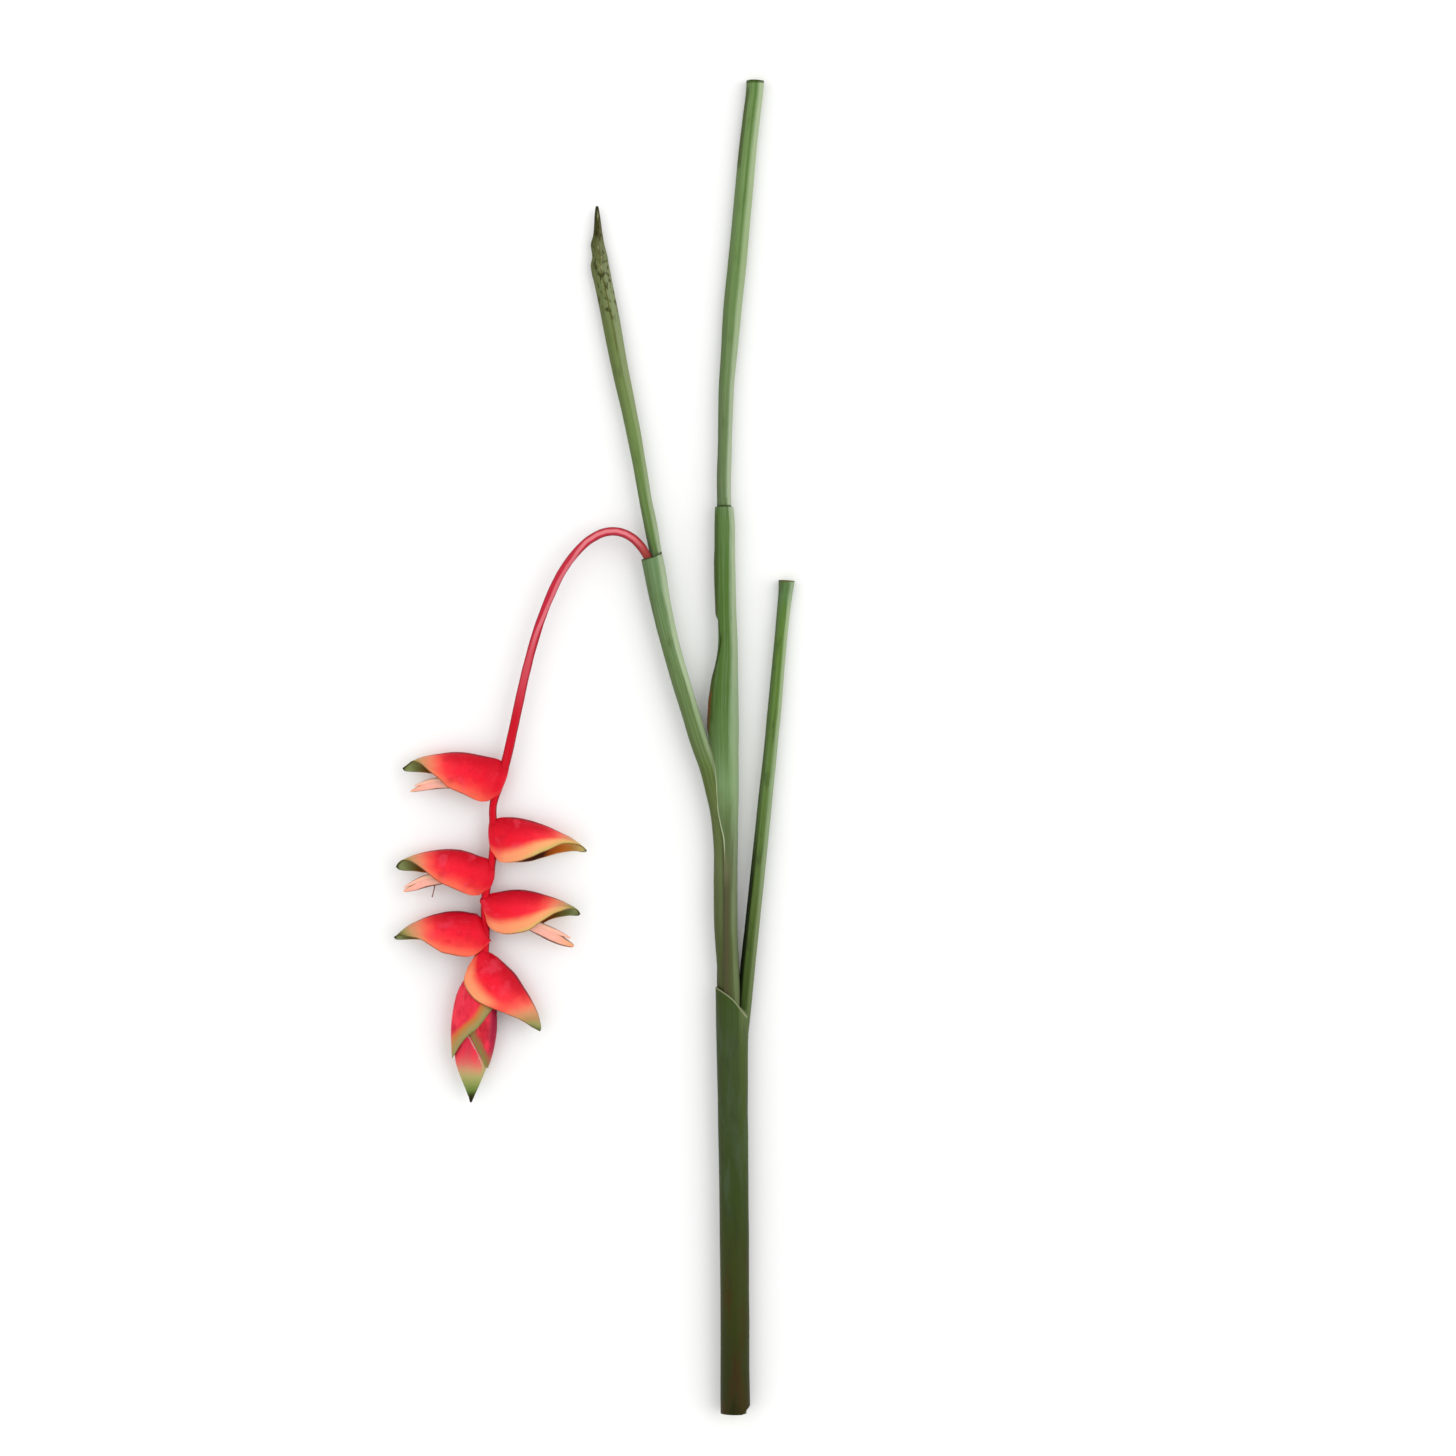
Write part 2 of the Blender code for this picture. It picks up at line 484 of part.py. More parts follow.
def build():
    clear_scene()
    outer_leaf()
    middle_leaf()
    flag_leaf()
    sweep("flower_stalk", stalk_route(), STALK_SIDES, "flower_stalk")
    for name in BRACTS:
        bract(name)
    for name in FLOWERS:
        flower(name)
    bud()


build()
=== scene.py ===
"""Looks of a cut heliconia stem laid down on a pale floor, seen from straight above.

The plant lies along Y, cut butt at -Y, and the flower hangs to the -X side. Routes and
outlines are in millimetres. A station of a route is (x, y, z, half width, half depth).
"""
import math

import bpy
import numpy as np
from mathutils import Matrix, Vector, noise


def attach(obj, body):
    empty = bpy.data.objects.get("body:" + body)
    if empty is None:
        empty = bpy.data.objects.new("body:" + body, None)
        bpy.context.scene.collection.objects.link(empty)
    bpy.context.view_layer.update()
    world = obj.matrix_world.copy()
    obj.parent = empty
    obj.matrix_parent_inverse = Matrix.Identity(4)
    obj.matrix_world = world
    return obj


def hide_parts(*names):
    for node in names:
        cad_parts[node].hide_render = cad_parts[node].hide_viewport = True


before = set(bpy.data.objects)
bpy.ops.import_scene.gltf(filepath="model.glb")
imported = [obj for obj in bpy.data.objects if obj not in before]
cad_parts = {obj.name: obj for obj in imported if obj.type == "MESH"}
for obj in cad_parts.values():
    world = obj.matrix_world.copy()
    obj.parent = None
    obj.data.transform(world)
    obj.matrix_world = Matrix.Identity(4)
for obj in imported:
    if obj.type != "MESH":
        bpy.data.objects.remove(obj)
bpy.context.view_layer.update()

# Sizes in millimetres
MM = 0.001
SIDES = 16
ROUND = 1.026
FLAT = math.cos(math.pi / SIDES)
BUTT_Y = -551.0
STEM_RADIUS = 12.0
STEM_Z = STEM_RADIUS * FLAT
MIDDLE_RADIUS = 9.2
FLAG_RADIUS = 6.6
CORE_RADIUS = 4.0
PLANT_LENGTH = 1102.0
FLOWER_Z = 13.2
GAP = 0.15
SHEATH_GAP = 0.3
PAST_BUTT = 3
INSET = 0.4
SHEATH_WALL = 2.2
BRACT_WALL = 1.1
CUT_LOW, CUT_HIGH = -20.0, 50.0

# The side of a leaf stalk that has the groove, in degrees
GROOVE_SIDE = 157.5

# Looks: how much the lamps brighten a colour, and the tints of the two kinds of gloss
LAMP_LIFT = 1.16
GREEN_GLOSS = (0.75, 1.0, 0.35, 1)
RED_GLOSS = (1.0, 0.4, 0.4, 1)


def lying(x, y, half_width, half_depth):
    """A station whose underside is on the floor."""
    return (x, y, half_depth * FLAT, half_width, half_depth)


def at_height(z, stations):
    """Stations at one height, from (x, y, half width, half depth)."""
    return [(x, y, z, half_width, half_depth) for x, y, half_width, half_depth in stations]


def in_stem(radius):
    """The stations that every nested sheath shares in the lower stem."""
    centres = ((117, BUTT_Y), (116.5, -482), (116, -375), (115, -300), (113, -230.5))
    return at_height(STEM_Z, [(x, y, radius, radius) for x, y in centres])


# Outermost leaf
OUTER_SHEATH = [
    lying(117, BUTT_Y, 12.2, STEM_RADIUS), lying(116.5, -482, 11.8, STEM_RADIUS),
    lying(116, -375, 12.1, STEM_RADIUS), lying(115, -300, 12.4, STEM_RADIUS),
    lying(114.5, -251, 12.9, STEM_RADIUS), lying(114.5, -226, 13.6, STEM_RADIUS),
    lying(114, -180, 13.8, STEM_RADIUS)]
OUTER_MOUTH = [(98.5, -197.5), (107, -202.5), (115, -208.5), (121, -216), (126.5, -223.5)]
RIGHT_STALK = [
    (119, -271, STEM_Z, 6.0, 6.0), (121.5, -238, STEM_Z, 6.1, 6.0), (124.5, -210, 11.6, 6.3, 6.0),
    (127.5, -176, 11.4, 6.4, 6.0), (130.5, -148, 11.0, 6.5, 5.9), (137, -86, 10.0, 6.3, 5.8),
    (144, -20, 9.0, 6.1, 5.6), (150.5, 46, 8.0, 5.9, 5.4), (154.5, 91, 7.2, 5.6, 5.4),
    lying(157, 116.5, 5.9, 5.6), lying(158.5, 129, 6.4, 6.0), lying(159, 137, 7.1, 6.6)]

# Middle leaf: open on the left for the flower branch, and carries the tallest stalk
MIDDLE_SHEATH = in_stem(MIDDLE_RADIUS) + [
    (111, -193, 11.6, 9.8, 9.6), (109, -152, 11.4, 9.9, 9.6), (109, -110, 11.2, 9.9, 9.9),
    (109, -70, 11.0, 10.3, 10.7), (108.5, -36, 11.0, 11.3, 10.8), (107.5, -3, 11.0, 12.3, 10.8),
    (106.9, 14, 10.9, 13.1, 10.7), (107, 29, 10.8, 12.8, 10.4), (107.5, 54, 10.4, 11.9, 10.0),
    (109, 80, 10.0, 10.0, 9.4), (108.5, 112, 9.8, 9.3, 8.9), (108, 153, 9.4, 9.0, 8.6),
    (108, 182, 9.2, 8.8, 8.4), (107.5, 198, 9.0, 8.0, 7.8)]
FRONT_MARGIN = [
    (107.5, -212), (107.5, -180), (107.8, -110), (107.6, -90), (106.9, -76), (104.4, -65),
    (102.3, -54), (101.5, -44), (101, -32), (99.7, -18), (96.9, -3.5), (94, 14)]
BACK_MARGIN = [(101.5, -212), (101.5, -110), (101.5, -24), (99, -3.5), (95, 14)]
OPEN_FROM, OPEN_TO = FRONT_MARGIN[0][1], FRONT_MARGIN[-1][1]

# Rows of the middle sheath: a few up to a level, the others from there to its top
LOW_ROWS = 11
SHEATH_ROWS = 170
SHEATH_ACROSS = 72
CLOSE_FROM = -240
SHEATH_TOP = 197.5

# The middle sheath, each as levels and values: where its margins meet, where they lap, how
# far round the lapped seam is turned in radians, how much the margin nearer the eye lifts,
# how deep the left side is hollow, and the share of the full wall
CLOSED = ((-330, -225, -212, 12, 26), (1, 0, 0, 0, 1))
LAPPED = ((12, 30, 148, 158), (0, 1, 1, 0))
SEAM_TURN = (
    (12, 18, 40, 60, 76, 86, 98, 104, 109, 150),
    (0, 0.12, 0.25, 0.3, 0.6, 0.8, 0.8, 0.65, 0.15, 0.15))
LIFTED = ((-100, 20, 150, 165), (0.3, 1, 1, 0))
LEFT_HOLLOW = (
    (40, 52, 62, 76, 86, 97, 104, 107, 125, 150),
    (0.4, 1.4, 2.4, 3.2, 3.5, 3.4, 3.1, 1.9, 1.2, 0.6))
WALL_SHARE = ((-260, -200, -60, 150, 190), (1, 0.55, 0.4, 0.4, 0.75))

TALL_STALK = [
    (108, 160, 9.4, 3.0, 3.0), (108, 166, 9.4, 7.2, 6.8), (107.8, 188, 9.1, 7.0, 6.7),
    (107.5, 196.5, 9.0, 6.6, 6.2), (107.4, 199, 9.0, 6.1, 5.6), (107, 219, 8.8, 6.2, 5.4),
    (108, 252, 8.4, 6.2, 5.4), (109, 294, 8.0, 6.6, 5.5), (111.5, 327, 7.6, 7.4, 5.8),
    (114, 360, 7.2, 8.1, 6.1), (117.5, 393, 6.9, 8.2, 6.3), (120.5, 426, 6.7, 8.0, 6.3),
    (124, 463, 6.5, 7.8, 6.2), (127.5, 500, 6.3, 7.7, 6.2), lying(130.5, 525, 7.5, 6.2),
    lying(132.5, 540, 7.4, 6.2), lying(133, 550.5, 7.7, 6.5)]

# Flag leaf: the sheath round the flower stalk, and the stalk with the torn tip
FLAG_BRANCH = [
    (110.3, -193, 11.6, 7.8, 7.6), (107.6, -152, 11.5, 8.2, 8.0), (107.2, -125, 11.4, 8.2, 8.0),
    (106.6, -88, 11.2, 7.4, 8.0), (103.8, -57, 11.7, 7.1, 7.8), (99.4, -36, 12.2, 7.2, 7.6),
    (95.1, -18, 12.8, 7.5, 7.4), (89.5, -3, 13.2, 7.6, 7.3), (79.2, 29.5, 13.0, 7.5, 7.3),
    (64.2, 79.5, 12.5, 7.6, 7.4), (54.7, 120.5, 12.2, 8.4, 8.0), (50.2, 145.5, 12.0, 9.0, 8.4),
    (47.2, 160, 12.0, 9.0, 8.4)]
FLAG_RIM = [(36, 153.5), (43, 154.5), (49, 156.2), (56, 159.6), (62, 162)]
FLAG_HOLLOW = [(51.5, 138, 12.0, 3.0, 3.0), (50.2, 146, 12.0, 6.4, 6.0), (46.4, 164, 12.0, 8.2, 7.6)]
TORN_STALK = [
    (55.5, 132, 10.8, 3.6, 3.8), (54.5, 139, 10.6, 4.8, 5.0), (51, 159.5, 10.2, 5.4, 5.0),
    (47.5, 178, 10.2, 5.8, 5.0), (44, 195, 10.0, 5.8, 4.8), (41, 211, 9.8, 5.4, 4.6),
    (35.5, 244, 9.4, 6.0, 4.6), (29, 277, 9.0, 6.4, 4.6), (21.5, 310, 8.4, 7.2, 4.6),
    (15.5, 343, 7.8, 7.7, 4.6), (9, 376, 7.0, 7.7, 4.4), (5.5, 391, 6.6, 8.2, 4.0),
    (4, 399, 6.4, 8.1, 3.4), (5, 404, 6.2, 6.6, 3.0), (3.2, 411.5, 6.2, 6.2, 2.8),
    (2.4, 415.5, 6.2, 6.3, 2.4), (3.4, 421, 6.2, 4.3, 2.2), (3, 431, 6.2, 3.1, 1.8),
    (2.6, 441, 6.2, 2.3, 1.5), (2.5, 446.5, 6.2, 1.2, 1.0)]

# Flower stalk: the core of the stem, the arch, and the zigzag axis of the flower
CORE = in_stem(CORE_RADIUS) + [
    (x, y, z, CORE_RADIUS, CORE_RADIUS) for x, y, z, _, _ in FLAG_BRANCH[:-3]]
ARCH = [
    (55.5, 115, 13.0, 4.0, 4.0), (50, 140, 13.6, 3.9, 3.9), (44.3, 157, 14.2, 3.8, 3.8),
    (33.5, 171, 14.8, 3.7, 3.7), (19, 177.5, 15.0, 3.7, 3.7), (3, 174.5, 14.8, 3.7, 3.7),
    (-14, 161, 14.4, 3.6, 3.6), (-30.5, 136.5, 14.0, 3.6, 3.6), (-46.5, 96, 13.6, 3.6, 3.6),
    (-57.5, 55, 13.4, 3.8, 3.8), (-66, 15, FLOWER_Z, 3.9, 3.9)]
ZIGZAG = at_height(FLOWER_Z, [(x, y, radius, radius) for x, y, radius in (
    (-73, -16, 4.0), (-79, -34.5, 3.8), (-83.2, -47, 3.4), (-83.6, -56, 3.2), (-82.6, -68, 3.2),
    (-82.6, -84, 3.3), (-84, -97, 3.5), (-87.2, -111, 3.5), (-89.4, -122, 3.4), (-89.8, -131, 3.3),
    (-89.9, -140, 3.4), (-88.9, -152, 3.5), (-89.3, -161, 3.5), (-90, -173, 3.7),
    (-93.5, -184, 3.6), (-95.2, -193, 3.0))])

# Bracts: keel to the tip, start of both margins, the rest of the margin nearer the eye and of
# the one on the underside, each up to the tip, widest half depth, tuck of the margins
BRACTS = {
    "bract_1": (
        [(-73, -14.5), (-78.5, -10.5), (-90, -7.8), (-98, -6.2), (-106, -4.8), (-117, -4.6), (-127, -6),
         (-136.5, -7.6), (-143, -9.2), (-149.4, -12.2), (-153.6, -15.6), (-157.8, -19.5)],
        [(-81.5, -42), (-87, -45.5), (-94, -45.8), (-106, -40.6)],
        [(-114, -37.2), (-120.5, -34.2), (-123.3, -31.4), (-127.5, -27.4), (-132.5, -23.5),
         (-136.8, -19.8), (-142, -15.4), (-148.3, -13), (-153.2, -16.2)],
        [(-114, -37), (-120, -33), (-126, -27), (-131, -24), (-136.7, -22.7), (-143.1, -21.9),
         (-151, -21.4), (-155.7, -20.9)], 12.4, 0.25),
    "bract_2": (
        [(-82.6, -61), (-78, -58.7), (-66, -58.3), (-55, -60.2), (-44.8, -63.3), (-37.4, -66.2),
         (-31, -69.2), (-25.5, -71.9), (-20, -74.8), (-15, -78), (-11, -80.8), (-7.9, -83.8),
         (-5.8, -87.5)],
        [(-82.6, -89), (-78, -95.3)],
        [(-68, -96.3), (-60, -95), (-55.3, -93.4), (-48, -90.6), (-43.5, -88.4), (-37.4, -86),
         (-31.6, -83.4), (-27.8, -81.8), (-22.7, -80.8), (-15.2, -81.4), (-9.8, -83.4)],
        [(-65, -96.5), (-53.7, -95.9), (-45.8, -93.7), (-40.6, -92.2), (-35.3, -90.6), (-30, -89),
         (-24.7, -88), (-19.4, -87.2), (-14.2, -87), (-10, -87.8)], 12.6, 0.25),
    "bract_3": (
        [(-84.3, -97.6), (-87, -92.8), (-94.5, -90.3), (-102.4, -87.2), (-110.3, -85.2), (-121, -84.6),
         (-131.4, -85.7), (-138.8, -87), (-146.2, -89), (-152.5, -91.3), (-157, -93.6), (-160.4, -96),
         (-162.4, -98.6), (-162.8, -101)],
        [(-89, -119.5), (-94, -123), (-100.3, -123.4), (-106, -121.8)],
        [(-115.6, -117.7), (-123.5, -114.3), (-127.7, -112.4), (-132.4, -108.7), (-137.2, -104.5),
         (-141.9, -100.8), (-147.2, -97.1), (-152.5, -95), (-157.4, -95), (-161, -97.6)],
        [(-115.6, -117.5), (-123, -113.6), (-129, -109), (-134, -106), (-139, -105), (-142, -104.7),
         (-147.2, -103.8), (-152.5, -103.4), (-157.7, -103), (-161.2, -102)], 13.0, 0.25),
    "bract_4": (
        [(-89.6, -123.8), (-85, -121.4), (-77.5, -119.8), (-69.5, -118.4), (-61.6, -118),
         (-51.1, -119.3), (-40.6, -122.3), (-32.7, -124.9), (-27.4, -127), (-22.1, -129.5),
         (-16.9, -132.3), (-13.7, -134.6), (-11.6, -137), (-11.4, -139.9)],
        [(-89.8, -139), (-87.8, -147.4), (-83.6, -151.6), (-79, -153.9), (-72, -155.4),
         (-64.3, -154.8)],
        [(-57.4, -153.4), (-53, -151.8), (-49, -149.4), (-44.8, -146), (-40.6, -143.4), (-37.4, -141.4),
         (-32.7, -138.7), (-27.4, -136.6), (-22.1, -134.7), (-17.6, -134.2), (-13.8, -136.4)],
        [(-57.4, -153.6), (-50, -151.4), (-44, -148.4), (-40, -146), (-36, -143.8), (-30, -141.9),
         (-24.7, -141), (-19.4, -140.2), (-15.2, -140.4)], 13.0, 0.25),
    "bract_5": (
        [(-89.2, -152), (-91, -144.6), (-96, -138.4), (-101.3, -137.2), (-109.2, -135.8),
         (-119.7, -136), (-127.6, -137.5), (-135.6, -139.8), (-143.4, -143), (-151.3, -147),
         (-156.6, -150.5), (-161.8, -155), (-164.9, -158.7)],
        [(-89.3, -165.5), (-92.6, -168.9), (-97.5, -172.4), (-104, -174), (-112, -173.2),
         (-119.7, -171.6), (-125, -170.4)],
        [(-130.3, -167.2), (-135.6, -163.8), (-140.8, -160.6), (-146, -158.6), (-152, -157.6),
         (-157, -156.8), (-161.4, -156.6)],
        [(-130.3, -166.8), (-135.6, -163), (-141, -160.6), (-148.7, -160), (-156.6, -160.2),
         (-162.9, -160)], 12.6, 0.25),
    "bract_6": (
        [(-86, -170), (-78.5, -174.4), (-70.6, -181.3), (-64.3, -187.8), (-60.1, -193.9),
         (-55.9, -200.8), (-52.1, -207.3), (-48.6, -214), (-45.7, -220.7), (-43.9, -227.6),
         (-43, -232.5), (-44, -236)],
        [(-100, -175.5), (-105.4, -186), (-106.8, -194), (-103.6, -202.2), (-98, -208.6),
         (-90.4, -213.3), (-81.9, -216.8)],
        [(-71.5, -221), (-61.1, -225.6), (-52.5, -230.6)],
        [(-71.5, -221.2), (-61.1, -226.2), (-52.5, -231.6)], 13.0, 0.04),
}
BRACT_DEPTHS = [0.28, 0.74, 0.97, 1.0, 0.9, 0.7, 0.44, 0.06]
BRACT_ROWS = 72
BRACT_ACROSS = 56
CLASP_ROWS = 7
CLASP_RADIUS = (3.6, 4.7)
FULL_DEPTH_AT = 0.6
WELD = 0.00002

# The pale band of each bract: strength, where it starts across the bract, its lean, its end
BANDS = {
    "bract_1": (0.3, 0.96, 0.12, 2), "bract_2": (1.0, 0.90, 0.55, 2),
    "bract_3": (0.3, 0.96, 0.12, 2), "bract_4": (0.9, 0.90, 0.42, 2),
    "bract_5": (0.35, 0.96, 0.1, 2), "bract_6": (0.85, 0.82, 0.0, 0.4)}

# The colours of a beak and how dark its very tip is
BEAKS = {
    "usual": ([(0.88, "#989050"), (0.94, "#5c6c2c"), (1.0, "#2c3a14")], 0.9),
    "bract_2": ([(0.87, "#d8b070"), (0.94, "#ccb870"), (1.0, "#a8a47c")], 0.35),
    "bract_6": ([(0.87, "#b48c58"), (0.94, "#96985c"), (1.0, "#66743c")], 0.4),
}

# Flowers: lower and upper lip, as routes from the axis to the tips
FLOWERS = {
    "flower_1": (
        [(-79.3, -34, FLOWER_Z, 2.6, 2.6), (-100, -32, FLOWER_Z, 3.6, 3.2),
         (-120, -30.5, 13.6, 4.6, 3.0), (-134, -32.2, 14.0, 3.9, 2.4),
         (-143, -34.8, 14.2, 2.6, 1.6), (-151.7, -37.6, 14.4, 0.6, 0.5)],
        [(-118, -28, 13.8, 2.2, 2.6), (-132.5, -28.2, 14.8, 2.2, 1.8),
         (-141.5, -31, 14.8, 1.4, 1.2), (-148.6, -33, 14.6, 0.5, 0.5)]),
    "flower_3": (
        [(-88, -110, FLOWER_Z, 2.6, 2.6), (-108, -108, FLOWER_Z, 3.6, 3.2),
         (-126, -109.5, 13.6, 4.8, 3.0), (-139, -112.4, 14.0, 4.6, 2.4),
         (-149, -117, 14.2, 2.8, 1.6), (-157.2, -119.8, 14.4, 1.0, 0.7)],
        [(-122, -106, 13.8, 2.2, 2.6), (-138, -108.2, 14.8, 2.4, 1.8),
         (-147, -111.8, 14.8, 1.8, 1.3), (-157, -117, 14.6, 0.6, 0.5)]),
    "flower_4": (
        [(-89.4, -136, FLOWER_Z, 2.6, 2.6), (-68, -141, FLOWER_Z, 3.6, 3.2),
         (-48, -149.5, 13.4, 5.0, 3.0), (-36, -156, 13.8, 5.0, 2.6),
         (-25, -161.5, 14.2, 3.8, 1.9), (-16, -165.4, 14.4, 1.2, 0.8)],
        [(-56, -143, 13.8, 2.2, 2.6), (-40, -149.5, 14.8, 2.4, 1.8),
         (-29, -154, 14.8, 2.0, 1.4), (-18.5, -158.8, 14.6, 0.7, 0.5)]),
}
FILAMENT = [(-130.5, -109, 13.9, 0.8, 0.8), (-131.3, -117, 14.0, 0.7, 0.7),
            (-133.1, -123.8, 13.7, 0.55, 0.55), (-133.5, -125, 13.6, 0.8, 0.8)]

# Closed bud
BUD_CORE = at_height(FLOWER_Z, [
    (-94.5, -189, 6.2, 5.0), (-95.5, -198, 11.0, 7.2), (-96.7, -209, 14.6, 8.1),
    (-98, -232, 16.9, 8.2), (-99, -247, 15.6, 8.0), (-100.5, -261, 13.4, 6.8),
    (-100.7, -277, 7.4, 4.2), (-101, -289, 2.4, 1.8), (-101.5, -294.5, 0.7, 0.6)])
BUD_BASE = at_height(FLOWER_Z, [(-94, -184.5, 2.4, 2.4), (-94.2, -187, 4.2, 3.6)])
OUTER_EDGE = [
    (-68, -203), (-79, -212), (-85.5, -219.4), (-90.4, -226.2), (-96.1, -232.9),
    (-102.6, -238), (-106.7, -242.2), (-111.3, -248.6), (-115.1, -255.3), (-121, -264)]
INNER_EDGE = [
    (-113, -190), (-107, -210), (-104, -228), (-101, -238.5), (-97.2, -246.4),
    (-94.2, -251.6), (-91.4, -257.4), (-88.1, -265.2), (-82, -272)]
THIRD_EDGE = [
    (-112, -234), (-106, -237), (-102, -240), (-98.8, -246), (-95.6, -252), (-93, -259),
    (-91.5, -266), (-93, -276), (-98.5, -286)]

# In metres: the levels past which the bore of the bud's wraps is moved outwards, and how far
BORE_TOP, BORE_BOTTOM = -0.195, -0.285
BORE_PAST = 0.0012

# Camera, in metres and its sensor in millimetres
SENSOR = 36
VIEW_DISTANCE = 4
VIEW_WIDTH = 1.2024


def smooth(points, steps):
    """More points on a curve through the given ones; all their numbers are eased alike."""
    points = [Vector(point) for point in points]
    last = len(points) - 1
    slopes = []
    for index in range(last + 1):
        before = points[max(index - 1, 0)]
        after = points[min(index + 1, last)]
        length = (points[index] - before).length + (after - points[index]).length
        slopes.append((after - before) / length)
    result = []
    for index in range(last):
        start, end = points[index], points[index + 1]
        span = (end - start).length
        for step in range(steps):
            t = step / steps
            result.append(
                start * (2 * t**3 - 3 * t**2 + 1) + slopes[index] * span * (t**3 - 2 * t**2 + t)
                + end * (3 * t**2 - 2 * t**3) + slopes[index + 1] * span * (t**3 - t**2))
    return [tuple(point) for point in result + [points[last]]]


def along(points, share):
    """The point at a share of an outline's length."""
    points = [Vector(point) for point in points]
    lengths = [(b - a).length for a, b in zip(points, points[1:])]
    wanted = share * sum(lengths)
    for start, end, length in zip(points, points[1:], lengths):
        if wanted <= length:
            return start.lerp(end, wanted / length)
        wanted -= length
    return points[-1]


def grown(stations, amount):
    return [(x, y, z, a + amount, b + amount) for x, y, z, a, b in stations]


def past_butt(stations):
    """The same route begun outside the butt, so that a bore opens it cleanly."""
    x, y, z, half_width, half_depth = stations[0]
    return [(x, y - PAST_BUTT, z, half_width, half_depth)] + stations


def flower_route():
    """The flower stalk from the cut butt, over the arch, to inside the closed bud."""
    return CORE + smooth(ARCH, 2) + ZIGZAG


def activate(piece):
    bpy.ops.object.select_all(action="DESELECT")
    piece.select_set(True)
    bpy.context.view_layer.objects.active = piece


def apply_modifier(piece, kind, **settings):
    activate(piece)
    modifier = piece.modifiers.new(kind.title(), kind)
    for name, value in settings.items():
        setattr(modifier, name, value)
    bpy.ops.object.modifier_apply(modifier=modifier.name)


def subdivide(piece, levels=2):
    apply_modifier(piece, "SUBSURF", levels=levels, render_levels=levels)


def combine(target, tool, operation):
    """One Boolean, applied; the tool is used up."""
    apply_modifier(target, "BOOLEAN", operation=operation, object=tool, solver="MANIFOLD")
    bpy.data.objects.remove(tool, do_unlink=True)


def start_edit():
    bpy.ops.object.mode_set(mode="EDIT")
    bpy.ops.mesh.select_all(action="SELECT")


def end_edit():
    """Makes all faces look the same way, outwards, and ends the editing."""
    bpy.ops.mesh.select_all(action="SELECT")
    bpy.ops.mesh.normals_make_consistent(inside=False)
    bpy.ops.object.mode_set(mode="OBJECT")


def close_end(flat):
    """A face on the selected ring; a flat cut gets a narrow rim that stays in its plane."""
    bpy.ops.mesh.edge_face_add()
    if flat:
        bpy.ops.mesh.inset(thickness=INSET * MM)


def heading(stations, index):
    """The direction of travel at a station, as a turn from +Y."""
    before = stations[max(index - 1, 0)]
    after = stations[min(index + 1, len(stations) - 1)]
    return math.atan2(before[0] - after[0], after[1] - before[1])


def turn(angle, centre):
    """Turns the selection about an upright line; with no window the operator turns clockwise."""
    bpy.ops.transform.rotate(value=-angle, orient_axis="Z", center_override=centre)


def held_ends(stations, hold=0.5):
    """Adds a station just inside each end, so that a smoothed stalk keeps its flat cuts."""
    first, second = Vector(stations[0]), Vector(stations[1])
    last, before = Vector(stations[-1]), Vector(stations[-2])
    near_first = first.lerp(second, hold / (second - first).length)
    near_last = last.lerp(before, hold / (before - last).length)
    return [tuple(first), tuple(near_first)] + stations[1:-1] + [tuple(near_last), tuple(last)]


def stalk(name, stations, sides=SIDES, groove=0.0, cut_ends=True):
    """A circle at the first station, extruded and fitted at each next one, then smoothed.

    With cut_ends both ends stay flat, else the smoothing rounds them."""
    if cut_ends:
        stations = held_ends(stations)
    bpy.ops.object.select_all(action="DESELECT")
    facing = heading(stations, 0)
    x, y, z, half_width, half_depth = stations[0]
    bpy.ops.mesh.primitive_circle_add(
        vertices=sides, radius=MM * ROUND, fill_type="NOTHING",
        location=Vector((x, y, z)) * MM, rotation=(math.pi / 2, 0, facing))
    piece = bpy.context.object
    piece.name = name
    for point in piece.data.vertices:
        toward = math.atan2(point.co.y, point.co.x) - math.radians(GROOVE_SIDE)
        point.co *= 1 - groove * max(math.cos(toward), 0) ** 8
    piece.scale = (half_width, half_depth, 1)
    bpy.ops.object.transform_apply(location=True, rotation=True, scale=True)
    start_edit()
    close_end(cut_ends)
    bpy.ops.mesh.select_all(action="DESELECT")
    bpy.ops.object.mode_set(mode="OBJECT")
    for index in range(sides):
        piece.data.vertices[index].select = True
    bpy.ops.object.mode_set(mode="EDIT")
    for index in range(1, len(stations)):
        extrude_to(stations, index)
    close_end(cut_ends)
    end_edit()
    subdivide(piece)
    return piece


def extrude_to(stations, index):
    """Extrudes the selected ring from one station to the next and fits it there."""
    here, there = stations[index - 1], stations[index]
    centre = Vector(there[:3]) * MM
    bpy.ops.mesh.extrude_edges_move(
        TRANSFORM_OT_translate={"value": (Vector(there[:3]) - Vector(here[:3])) * MM})
    turn(-heading(stations, index - 1), centre)
    bpy.ops.transform.resize(
        value=(there[3] / here[3], 1, there[4] / here[4]), center_override=centre)
    turn(heading(stations, index), centre)


def prism(outline):
    """A plan outline raised from far below the plant to far above it."""
    bpy.ops.object.select_all(action="DESELECT")
    bpy.ops.mesh.primitive_circle_add(vertices=len(outline), radius=MM, fill_type="NGON")
    piece = bpy.context.object
    for point, (x, y) in zip(piece.data.vertices, outline):
        point.co = Vector((x, y, CUT_LOW)) * MM
    start_edit()
    rise = (CUT_HIGH - CUT_LOW) * MM
    bpy.ops.mesh.extrude_region_move(TRANSFORM_OT_translate={"value": (0, 0, rise)})
    end_edit()
    return piece


